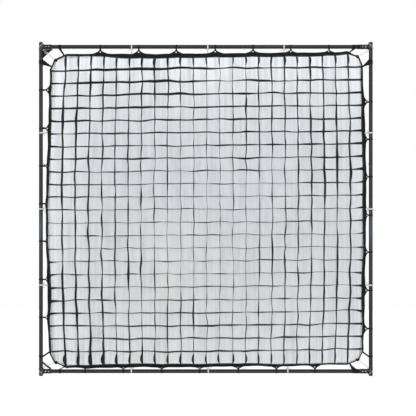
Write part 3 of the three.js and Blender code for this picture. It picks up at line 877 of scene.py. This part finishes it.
# The width of the sewn tabs, and what is open between their tips and the tube.
TAB_BASE = {"top": 0.130, "right": 0.105, "bottom": 0.120, "left": 0.095}
TAB_GAP = {"top": 0.008, "right": 0.006, "bottom": 0.0015, "left": 0.020}
# How far each tie has slipped along its side, in millimetres.
TIE_SLIP = {"top": (14, 14, 15), "right": (0, 0, 0), "bottom": (-42, -18, -12), "left": (0, 0, 0)}
TIE_PULL = 0.004  # how far a strap draws the border out
# How wide the straps at a side's two ends are where they meet the tube.
END_STRAPS = {
    "top": (0.020, 0.026),
    "right": (0.044, 0.014),
    "bottom": (0.040, 0.014),
    "left": (0.014, 0.044),
}


def smoothed(values, steps):
    """A smooth curve through evenly spaced values, with steps points from one to the next."""
    return curved(np.asarray(values, float)[:, None], steps)[:, 0]


def along_side(table, side, x):
    """A smooth curve through a side's evenly spaced values, in metres."""
    fine = smoothed(np.array(table[side.name], float) * 0.001, 8)
    return np.interp(x, np.linspace(-BORDER_HALF, BORDER_HALF, len(fine)), fine)


def hung(side, x, depth):
    """How far out of the pattern's line the border is, at a depth from its front edge (0) to its back
    edge (1), which is drawn out a little at each strap."""
    ties = np.array([-BEND, *side.straps, BEND])
    held = np.clip(x, -BEND, BEND)
    after = np.clip(np.searchsorted(ties, held), 1, len(ties) - 1)
    left, right = ties[after - 1], ties[after]
    t = (held - left) / (right - left)
    pull = TIE_PULL * np.abs(2 * t - 1) ** 2.2
    return pull * depth - along_side(BORDER_HANGS_IN, side, x)


# ---- The egg crate ----

NODES = GRID_CELLS + 1  # crossings and ends along a strip
STEPS = 8  # points along a strip in each cell
DEPTH_STEPS = 6

# Where the strips hang slack: x, z, reach, and how far their front edges are thrown aside and up.
SLACK_SPOTS = (
    (-0.84, -1.12, 0.15, -0.011, 0.0),
    (-0.55, -0.44, 0.12, -0.009, 0.004),
    (-0.98, -0.62, 0.20, -0.006, -0.003),
    (-1.04, 0.64, 0.15, -0.006, 0.002),
    (-1.05, 0.20, 0.25, -0.004, 0.002),
    (-0.40, 1.00, 0.25, -0.003, 0.005),
    (-0.12, -0.72, 0.13, -0.007, -0.004),
    (0.46, -0.36, 0.13, 0.006, 0.004),
    (0.95, 0.35, 0.22, 0.006, 0.003),
    (1.00, -0.55, 0.25, 0.005, 0.0),
    (0.30, 0.62, 0.16, 0.005, 0.003),
    (0.90, 0.10, 0.55, 0.0025, 0.0),
    (0.55, 0.70, 0.40, 0.0025, 0.0),
    (-0.60, 1.05, 0.50, 0.0, 0.0025),
    (-0.20, 1.05, 0.32, -0.003, 0.0),
    (0.38, 1.05, 0.32, 0.003, 0.0),
    (-0.20, -1.00, 0.36, -0.0025, -0.003),
    (0.40, -1.00, 0.36, 0.0025, -0.003),
    (-0.80, -1.00, 0.30, 0.0, -0.002),
)


def slack(x, z):
    aside, up = np.zeros_like(x), np.zeros_like(x)
    for spot_x, spot_z, reach, throw_aside, throw_up in SLACK_SPOTS:
        near = np.exp(-((x - spot_x) ** 2 + (z - spot_z) ** 2) / reach ** 2)
        aside += near * throw_aside
        up += near * throw_up
    return aside, up


# How far the strips' front edges are thrown in the cells beside the border, evenly spaced along a side,
# in millimetres: uprights bulge in mid-cell, level strips open like a wedge towards the border.
END_THROW = {
    "top": (7, 6, 8, 7, 9, 7, 8, 6, 7),
    "bottom": (2, 3, 5, 9, 12, 13, 14, 13, 13),
    "right": (2, 5, 9, 14, 12, 16, 16, 12, 4),
    "left": (2, 8, 18, 7, 4, 6, 8, 4, 1),
}
END_REACH = 0.09  # how far from the border a strip follows it
BULGE_DIVIDE = 0.1  # the place across the strips where the throw changes sides
WEDGE_DIVIDE = -0.25
# The sides at a strip's ends, which way it runs out to each, and which way across it their own X runs.
UPRIGHT_ENDS = (("bottom", -1, -1), ("top", 1, 1))
LEVEL_ENDS = (("left", -1, 1), ("right", 1, -1))


def crossing_offsets():
    """How far the front and back edges are off the pattern at each crossing, aside and up."""
    places = np.arange(NODES) - GRID_CELLS / 2
    x, z = np.meshgrid(places * CELL_WIDTH, places * CELL_HEIGHT, indexing="ij")
    shared = RANDOM.normal(0, 0.0024, (2, NODES, NODES))
    twist = RANDOM.normal(0, 0.0011, (2, NODES, NODES))
    inside = np.zeros((NODES, NODES))
    inside[1:-1, 1:-1] = 1
    return (shared + twist) * inside + np.array(slack(x, z)), (shared - twist) * inside


def strip_shapes(front, back, upright):
    """The strips that run one way. Between crossings each one bellies a little to one side."""
    pitch_across, pitch_along = (CELL_WIDTH, CELL_HEIGHT) if upright else (CELL_HEIGHT, CELL_WIDTH)
    if not upright:
        front, back = front[::-1].transpose(0, 2, 1), back[::-1].transpose(0, 2, 1)
    depth = np.linspace(0, 1, DEPTH_STEPS)
    to_front = 1 - depth
    steps = np.arange(GRID_CELLS * STEPS + 1) / STEPS
    cell = np.minimum(steps.astype(int), GRID_CELLS - 1)
    arch = np.sin(math.pi * (steps - cell))
    reach = BORDER_HALF - BORDER_THICKNESS
    thickness = np.where(depth < 0.15, STRIP_HEM, STRIP_THICKNESS)
    y = -GRID_DEPTH + (GRID_DEPTH - GAP) * depth
    shapes = []
    for k in range(1, GRID_CELLS):
        aside_front, aside_back = smoothed(front[0, k], STEPS), smoothed(back[0, k], STEPS)
        belly = RANDOM.normal(0, 0.0019, GRID_CELLS)[cell] * arch
        curl = RANDOM.normal(0, 0.0009, GRID_CELLS)[cell] * arch
        across = (k - GRID_CELLS / 2) * pitch_across
        along = (steps - GRID_CELLS / 2) * pitch_along + smoothed(back[1, k], STEPS)
        along = np.clip(along, -reach, reach)
        along[0], along[-1] = -reach, reach
        a = across + aside_front[:, None] * to_front + aside_back[:, None] * depth
        a = a + belly[:, None] * (1 - 0.6 * depth) + curl[:, None] * np.sin(math.pi * depth)
        b = along[:, None]
        for end, way, sense in UPRIGHT_ENDS if upright else LEVEL_ENDS:
            side, local = SIDE[end], sense * across
            near = np.clip((way * b - (reach - END_REACH)) / END_REACH, 0, 1)
            b = b + way * near ** 2 * hung(side, local, depth)
            throw = along_side(END_THROW, side, local) * RANDOM.uniform(0.7, 1.2)
            if upright:
                bulge = np.abs(np.sin(math.pi * near)) ** 0.5 * to_front ** 0.8
                a = a + math.copysign(throw, across - BULGE_DIVIDE) * bulge
            else:
                a = a + math.copysign(throw, across - WEDGE_DIVIDE) * near ** 1.3 * to_front
        x, z = (a, b) if upright else (b, a)
        shapes.append(shell(cloth_points(x, y, z), thickness))
    return shapes


def make_egg_crate():
    front, back = crossing_offsets()
    for name, upright in (("grid_upright_strips", True), ("grid_level_strips", False)):
        cloth = piece(f"{name}_cloth", strip_shapes(front, back, upright), "grid_fabric", replaces=[name])


# ---- The grid's border, its tabs and straps ----


def border_line():
    """The border's front edge from knot to knot, in a side's own X and Z, before the cloth's bow."""
    slope = np.linspace(0, 1, 13)[1:]
    left = [(-BEND - (KNOT - BEND) * t, BORDER_HALF - (BORDER_HALF - KNOT) * t ** 1.25) for t in slope]
    straight = [(x, BORDER_HALF) for x in np.linspace(-BEND, BEND, 241)]
    return np.array(left[::-1] + straight + [(-x, z) for x, z in left])


def make_border(side):
    """The border band and the flat edging sewn along its back edge. Gives the edging's points and the
    ends of the band's back edge."""
    line = border_line()
    x, along = line[:, :1], line[:, 0]
    depth = np.linspace(0, 1, 9)
    ripple = 0.0012 * np.sin(along * 61 + 2 * side.axis) + 0.001 * np.sin(along * 143 + side.button)
    z = line[:, 1:] + hung(side, x, depth) + ripple[:, None] * (1 - depth)
    grid = side_cloth_points(side, x, -GRID_DEPTH + GRID_DEPTH * depth, z)
    thickness = np.where(np.abs(depth - 0.5) > 0.36, BORDER_THICKNESS * 1.5, BORDER_THICKNESS)
    name = f"grid_border_{side.name}"
    border = piece(f"{name}_band", [shell(grid, thickness)], "black_webbing", replaces=[name])

    across = np.linspace(0, 1, 6)
    narrow = np.clip((KNOT - np.abs(along)) / (KNOT - BEND), EDGING_END, 1)
    width = along_side(EDGING_WIDTH, side, along) * narrow + 0.0012 * np.sin(along * 37)
    edge_z = z[:, -1:] - EDGING_LAP + (width[:, None] + EDGING_LAP) * across
    edge_y = TAB_Y - 0.0005 - 0.0015 * np.sin(across * 3 + x * 43)
    edging_grid = side_cloth_points(side, x, edge_y, edge_z)
    thickness = np.where(across > 0.8, STRAP_THICKNESS * 1.5, STRAP_THICKNESS)
    edging = piece(f"{name}_edging", [shell(edging_grid, thickness)], "black_webbing")
    return edging_grid, grid[0, -1], grid[-1, -1]


def bent(start, control, end, steps=12):
    """A quadratic curve without its last point."""
    t = np.linspace(0, 1, steps, endpoint=False)[:, None]
    return (1 - t) ** 2 * start + 2 * t * (1 - t) * control + t ** 2 * end


def tab_shape(root_left, root_right, tip, hole, y):
    """A triangular tab with hollow sides, a blunt tip and an eyelet."""
    root_left, root_right, tip, hole = map(np.array, (root_left, root_right, tip, hole))
    neck = STRAP_WIDTH / 2
    tip_left, tip_right = tip - (neck, 0), tip + (neck, 0)
    root_share, tip_share = np.array([0.175, 0.55]), np.array([0.825, 0.45])
    outer = np.concatenate([
        bent(root_right, root_right * root_share + tip_right * tip_share, tip_right),
        bent(tip_right, tip, tip_left, 4),
        bent(tip_left, root_left * root_share + tip_left * tip_share, root_left),
        bent(root_left, (root_left + root_right) / 2, root_right),
    ])
    angles = np.arctan2(outer[:, 1] - hole[1], outer[:, 0] - hole[0])
    inner = hole + EYELET_RADIUS * np.stack([np.cos(angles), np.sin(angles)], 1)
    low, high = y - STRAP_THICKNESS / 2, y + STRAP_THICKNESS / 2
    rings = [points_at(ring[:, 0], level, ring[:, 1])
             for ring, level in ((outer, low), (outer, high), (inner, high), (inner, low))]
    return np.concatenate(rings), ring_faces(4, len(outer), True)


def eyelet_shape(x, z, y):
    """A rolled metal ring."""
    angles = around(28)
    radius = EYELET_RADIUS + 0.0008
    path = points_at(x + radius * np.cos(angles), y, z + radius * np.sin(angles))
    rolled = [(0.0014 * math.cos(a), 0.0013 * math.sin(a)) for a in np.linspace(0, 5.5, 8)]
    return sweep(path, rolled, (0, 1, 0), True)


def drop_loop(x, axis, radius, eye_y, eye_z):
    """A strap's path round the tube and back to an eye: a circle drawn out to a point."""
    distance = math.hypot(eye_y, eye_z - axis)
    heading = math.atan2(eye_z - axis, eye_y)
    opening = math.acos(min(1.0, radius / distance))
    angles = np.linspace(heading + opening, heading + 2 * math.pi - opening, 40)
    circle = about_x(x, radius, angles, axis)
    eye = np.array([x, eye_y, eye_z])
    runs = np.linspace(0, 1, 6, endpoint=False)[:, None]
    out, back = eye + (circle[0] - eye) * runs, circle[-1] + (eye - circle[-1]) * runs[1:]
    return np.concatenate([out, circle, back])


def knot_shape(centre, size, thickness, turn):
    """A small overhand knot of tape."""
    u = around(48)
    path = np.stack([np.sin(u) + 2 * np.sin(2 * u), -np.sin(3 * u) * 1.1, np.cos(u) - 2 * np.cos(2 * u)], 1)
    knot = sweep(path * size / 6, round_profile(thickness, 8), None, True)
    return shifted(knot, *centre, turn)


def tail_shape(start, bent_at, end, width, thickness, across=(1, 0, 0)):
    """A loose end of tape."""
    path = curved([start, (Vector(start) + Vector(bent_at)) / 2, bent_at, end])
    return sweep(path, strap_profile(width, thickness), across)


def make_tabs(side, grid):
    """The tabs and eyelets of one side. Gives its straps."""
    edge = side.own(grid[:, -1])
    tube_edge = side.axis - TUBE_RADIUS - GAP
    knot_y, knot_z = -TUBE_RADIUS * 0.62, tube_edge - 0.001
    tabs, eyelets, straps = [], [], []
    for i, pattern_x in enumerate(side.straps):
        x = pattern_x + side.shift_x
        width = TAB_BASE[side.name] * RANDOM.uniform(0.85, 1.15)
        left, right = x - width / 2, x + width / 2
        left_z, middle_z, right_z = np.interp([left, x, right], edge[:, 0], edge[:, 2]) - 0.004
        tip_z = tube_edge - TAB_GAP[side.name]
        hole = (x + RANDOM.uniform(-0.002, 0.002), middle_z + (tip_z - middle_z) * 0.36 + 0.002)
        tabs.append(tab_shape((left, left_z), (right, right_z), (x, tip_z), hole, TAB_Y))
        eyelets.append(eyelet_shape(*hole, TAB_Y))
        path = drop_loop(x, side.axis, STRAP_RING, TAB_Y, tip_z - 0.004)
        straps.append(sweep(path, strap_profile(STRAP_WIDTH, STRAP_THICKNESS), (1, 0, 0), True))
        start = (x, knot_y, knot_z)
        straps.append(knot_shape(start, 0.010, 0.0021, i * 1.3))
        reach = RANDOM.uniform(0.010, 0.022)
        swing = RANDOM.uniform(-0.012, 0.012)
        bent_at = (x + swing * 0.4, knot_y - 0.003, knot_z - reach * 0.4)
        end = (x + swing, knot_y - 0.001, knot_z - reach)
        straps.append(tail_shape(start, bent_at, end, 0.006, 0.0012))
    piece(f"{side.name}_grid_tabs", on_side(side, tabs), "black_webbing")
    piece(f"{side.name}_grid_eyelets", on_side(side, eyelets), "bright_steel")
    return straps


def make_end_straps(side, grid):
    """The straps at the cut-off corners, which widen towards the tube they are wound on."""
    edge = side.own(grid[:, -1])
    tube_edge = side.axis - STRAP_RING
    t = np.linspace(0, 1, 14)[:, None]
    spread = np.array([-1, -0.5, 0, 0.5, 1])
    shapes = []
    for way, width in zip((-1, 1), END_STRAPS[side.name]):
        foot_x = way * BEND + side.shift_x
        foot_z = float(np.interp(foot_x, edge[:, 0], edge[:, 2])) - 0.002
        top_x = way * (BEND + END_STRAP_LEAN) + side.shift_x
        half = END_STRAP_FOOT + (width / 2 - END_STRAP_FOOT) * t ** 1.6
        x = foot_x + (top_x - foot_x) * t + half * spread
        y = TAB_Y + (-STRAP_RING * 0.75 - TAB_Y) * t ** 2 - 0.0012 * np.cos(spread * 2.2)
        shapes.append(shell(points_at(x, y, foot_z + (tube_edge - foot_z) * t), STRAP_THICKNESS))
        wound = strap_profile(min(width, 0.028), STRAP_THICKNESS)
        shapes.append(sweep(about_x(top_x, STRAP_RING, around(40), side.axis), wound, (1, 0, 0), True))
    return shapes


# ---- The diffusion textile ----


def textile_width(z):
    """Half its width at a height, in its own coordinates, with the corners cut off."""
    heights = [TEXTILE_BEND, TEXTILE_KNOT, TEXTILE_HALF]
    return np.interp(np.abs(z), heights, heights[::-1])


def textile_edge(x, z):
    """How far the textile's edges are drawn out so that they stay behind the border's band."""
    aside, lift = np.zeros_like(x), np.zeros_like(x)
    for side in SIDES:
        turn = side.turn
        along = turn[0][0] * x + turn[2][0] * z
        out = turn[0][2] * x + turn[2][2] * z
        near = np.clip((out - TEXTILE_HALF + 0.2) / 0.2, 0, 1) ** 2
        from_corner = np.clip((BEND - np.abs(along)) / 0.1, 0, 1)
        spare = 0.003 + 0.0045 * from_corner
        drawn = near * (spare + np.maximum(0, -along_side(BORDER_HANGS_IN, side, along)))
        aside += drawn * turn[0][2]
        lift += drawn * turn[2][2]
    return aside, lift


def textile_points(x, y, z):
    aside, lift = textile_edge(x, z)
    return cloth_points(x + aside, y, z + lift)


def textile_depth(x, z):
    """How far the textile stands behind the grid: slack folds, and pulls towards its ties."""
    u, v = x / TEXTILE_HALF, z / TEXTILE_HALF
    folds = np.sin(x * 21 + 1.8 * np.sin(z * 3.1)) * 0.5 + np.sin(x * 47 + 2.2 * np.sin(z * 1.9 + 1)) * 0.3
    rows = np.sin(z * 29 + 1.4 * np.sin(x * 2.7)) * 0.3
    pull = np.zeros_like(x)
    for i in (-1, 0, 1):
        for tie_x, tie_z in ((i * TIE_PITCH, TEXTILE_HALF), (i * TIE_PITCH, -TEXTILE_HALF),
                             (TEXTILE_HALF, i * TIE_PITCH), (-TEXTILE_HALF, i * TIE_PITCH)):
            away = np.hypot(x - tie_x, z - tie_z)
            bearing = np.arctan2(z - tie_z, x - tie_x)
            pull += np.exp(-away / 0.12) * np.sin(bearing * 9)
    middle_slack = np.clip(1 - u ** 4, 0, 1) * np.clip(1 - v ** 4, 0, 1)
    return 0.0042 * middle_slack + 0.0011 * (folds + rows) * middle_slack + 0.0009 * (pull + 1)


def textile_row(side, row, stand_off):
    """Places in a side's own X and Z on the hung textile, at a distance behind its middle."""
    x, z = side.to_cloth(row[:, 0], row[:, 1])
    return textile_points(x, TEXTILE_Y + textile_depth(x, z) + stand_off, z)


def stitch_row(points, normal, pitch, length, radius):
    """A line of lockstitches on a polyline in the XZ plane."""
    along = np.concatenate([[0], np.cumsum(np.linalg.norm(np.diff(points, axis=0), axis=1))])
    shapes = []
    for place in np.arange(pitch, along[-1] - pitch, pitch):
        at = place + np.array([-0.5, 0, 0.5]) * length
        stitch = points_at(*(np.interp(at, along, points[:, k]) for k in range(3)))
        stitch[1] += np.array(normal) * radius * 0.9
        shapes.append(sweep(stitch, round_profile(radius, 5)))
    return shapes


def make_textile():
    steps = 181
    even = np.linspace(-1, 1, steps)
    v = np.sin(even * math.pi / 2 * 0.999) * 0.35 + even * 0.65  # closer rows towards head and foot
    z = np.repeat((v / v[-1] * TEXTILE_HALF)[:, None], steps, 1)
    x = even * textile_width(z)
    grid = textile_points(x, TEXTILE_Y + textile_depth(x, z), z)
    cloth = piece("diffusion_textile_cloth", [shell(grid, TEXTILE_THICKNESS)], "white_textile",
                  replaces=["diffusion_textile"])

    edge = [(x, TEXTILE_HALF) for x in np.linspace(-TEXTILE_BEND, TEXTILE_BEND, 120)]
    line = np.array([(-TEXTILE_KNOT, TEXTILE_KNOT), *edge, (TEXTILE_KNOT, TEXTILE_KNOT)])
    inner = line - (0, TEXTILE_HEM)
    inner[0] += (TEXTILE_HEM * 0.35, TEXTILE_HEM * 0.35)
    inner[-1] += (-TEXTILE_HEM * 0.35, TEXTILE_HEM * 0.35)
    hems, thread = [], []
    for side in SIDES:
        rows = [textile_row(side, line * (1 - t) + inner * t, TEXTILE_THICKNESS + 0.0001)
                for t in np.linspace(0, 1, 4)]
        hems.append(shell(rows, TEXTILE_THICKNESS))
        for share in (0.12, 0.88):
            row = textile_row(side, line * (1 - share) + inner * share, -TEXTILE_THICKNESS / 2)
            thread += stitch_row(row, (0, -1, 0), 0.009, 0.0062, 0.0004)
    hem = piece("diffusion_textile_hem", hems, "white_textile")
    stitching = piece("diffusion_textile_stitching", thread, "white_thread")


def make_ties(side):
    """The white tapes: a loop round the tube, a knot and two loose ends."""
    for i in (1, 2, 3):
        x = (i - 2) * TIE_PITCH + TIE_SLIP[side.name][i - 1] * 0.001
        hem = side.own(side_cloth_points(side, x - side.shift_x, 0.0, TEXTILE_HALF - 0.004))
        path = drop_loop(x, side.axis, TIE_RING, TEXTILE_Y + 0.0016, hem[2])
        shapes = [sweep(path, strap_profile(TIE_WIDTH, TIE_THICKNESS), (1, 0, 0), True)]
        knot_y, knot_z = -0.006, side.axis - TIE_RING - 0.004
        start = (x, knot_y, knot_z)
        shapes.append(knot_shape(start, 0.010, 0.0019, i + side.axis))
        for way in (-1, 1):
            length = RANDOM.uniform(0.016, 0.028)
            bent_at = (x + way * length * 0.45, knot_y - 0.004, knot_z - 0.001)
            end = (x + way * length * 0.9, knot_y - 0.002, knot_z - length * 0.4)
            shapes.append(tail_shape(start, bent_at, end, 0.006, 0.0009, (0, 0.3, 1)))
        if side.name == "right" and i == 2:  # the one loose end that stands out past the post
            route = ((0.004, -0.004, 0), (0.006, -0.006, 0.007), (0.010, -0.004, 0.014))
            outside = side.axis + TIE_RING
            shapes.append(tail_shape(*((x + dx, y, outside + dz) for dx, y, dz in route), 0.007, 0.0009))
        name = f"{side.name}_textile_tie_{i}"
        piece(f"{name}_tape", on_side(side, shapes), "white_tape", replaces=[name])


# ---- Straps and cords at the corners ----


POST_FACE = POST_AXIS - TUBE_RADIUS - GAP
SOCKET_FACE = RAIL_AXIS - TUBE_RADIUS - GAP - SOCKET_WALL - SOCKET_LIP - GAP
# The loop's way over the gusset, in millimetres from the post, the tubes' plane and the socket.
GUSSET_LOOP = ((10, -2.2, -16), (22, -4.2, -10), (36, -4.2, -20), (30, -4.2, -33), (12, -2.2, -28))


def make_gusset():
    """Top left: a flat gusset of webbing that fills the corner, with a stitched loop on it."""
    t = np.linspace(0, 1, 13)
    inner_edge = np.stack([-POST_FACE + 0.076 * t, SOCKET_FACE - 0.066 * (1 - t) ** 1.15], 1)
    corner_edge = np.stack([-POST_FACE + 0.012 * t, SOCKET_FACE - 0.012 * (1 - t)], 1)
    rows = [corner_edge * (1 - s) + inner_edge * s for s in np.linspace(0, 1, 7)]
    grid = [points_at(row[:, 0], TUBE_Y - 0.0012 * math.sin(3 * a), row[:, 1]) for a, row in enumerate(rows)]
    path = curved((-POST_FACE, TUBE_Y, SOCKET_FACE) + 0.001 * np.array(GUSSET_LOOP), 8)
    loop_cord = sweep(path, round_profile(0.0013, 8))
    piece("top_left_corner_gusset", [shell(grid, WEB_THICKNESS)], "black_webbing",
          replaces=["top_left_corner_strap"])
    piece("top_left_gusset_loop", [loop_cord], "bare_aluminium")


def make_corner_band():
    """Bottom left: a strap across the corner, edge on, between the post and the socket."""
    s = np.linspace(0, 1, 15)[:, None]
    sag = 0.0015 * np.sin(math.pi * s)
    width = np.linspace(-WEB_WIDTH / 2, WEB_WIDTH / 2, 5)
    x = -POST_FACE + 0.058 * s - sag
    z = -SOCKET_FACE + 0.046 * (1 - s) - sag + width * 0.10
    band = shell(points_at(x, TUBE_Y + width * 0.95, z), WEB_THICKNESS * 2.6)
    piece("bottom_left_corner_band", [band], "black_webbing", replaces=["bottom_left_corner_strap"])


def make_corner_wraps():
    """Right: a strap wound twice round the rail beside its fitting, on top of itself."""
    for name, side, way in (("top_right", SIDE["top"], 1), ("bottom_right", SIDE["bottom"], -1)):
        x = way * (HALF - SOCKET_REACH - WEB_WIDTH / 2 - GAP)
        turns = np.linspace(0, 4.3 * math.pi, 110)
        radius = TUBE_RADIUS + GAP + 0.0007 + 0.0006 * turns / (2 * math.pi)
        path = about_x(x + 0.0006 * turns, radius, turns, side.axis)
        wound = sweep(path, strap_profile(WEB_WIDTH * 0.9, 0.0011), (1, 0, 0))
        piece(f"{name}_corner_wrap", on_side(side, [wound]), "black_webbing",
              replaces=[f"{name}_corner_strap"])


# The cord's way round a frame corner, in millimetres from where the axes of post and rail cross:
# away from the panel sideways, away from it along the post, and back (positive) or front.
CORD_ROUTE = (
    (-30, -33, -8), (-23, -27, 0), (-22, -18, 18), (-19, 0, 23.5), (-18, 16, 18), (-17, 24.5, 0),
    (-13, 17.5, -18), (-5, 9, -21.5), (4, 0, -20.5), (12, -8, -16), (18.7, -14, -3), (17, -18, 9),
    (9, -22, 17.5), (-4, -25, 20), (-15, -28, 13), (-23, -33, 3), (-33, -41, -5),
)


def make_corner_cords(ends):
    """A thin white cord from each of the border's corner knots, once round post and fitting and back."""
    for corner, (sx, sz) in CORNERS.items():
        knot = (ends[corner][0] + ends[corner][1]) / 2 + (0, -0.004, 0)
        crossing = np.array([sx * POST_AXIS, TUBE_Y, sz * RAIL_AXIS])
        route = crossing + 0.001 * np.array([(sx * aside, back, sz * up) for aside, up, back in CORD_ROUTE])
        finish = knot + (sx * 0.003, 0.002, -sz * 0.006)
        out = [knot + (route[0] - knot) * t for t in (0, 0.33, 0.66)]
        home = [route[-1] + (finish - route[-1]) * t for t in (0.33, 0.66, 1)]
        path = curved(np.array([*out, *route, *home]), 5)
        shape = sweep(path, round_profile(CORNER_CORD_RADIUS, 8))
        cord = piece(f"{corner}_corner_cord", [shape], "white_tape")
        knots = [knot_shape(knot, 0.020, 0.0036, sx + sz), knot_shape(knot, 0.014, 0.003, sx - sz)]
        black_knot = piece(f"{corner}_border_knot", knots, "black_webbing")


for side in SIDES:
    make_tubes(side)
    make_button(side)
    make_spring(side)
make_corners()
make_egg_crate()
make_textile()
cloth_ends = {corner: [] for corner in CORNERS}
for side in SIDES:
    edging_grid, *band_ends = make_border(side)
    for corner, band_end in zip(side.corners, band_ends):
        cloth_ends[corner].append(band_end)
    strap_shapes = make_tabs(side, edging_grid) + make_end_straps(side, edging_grid)
    piece(f"{side.name}_grid_straps", on_side(side, strap_shapes), "black_webbing")
    make_ties(side)
make_gusset()
make_corner_band()
make_corner_wraps()
make_corner_cords(cloth_ends)
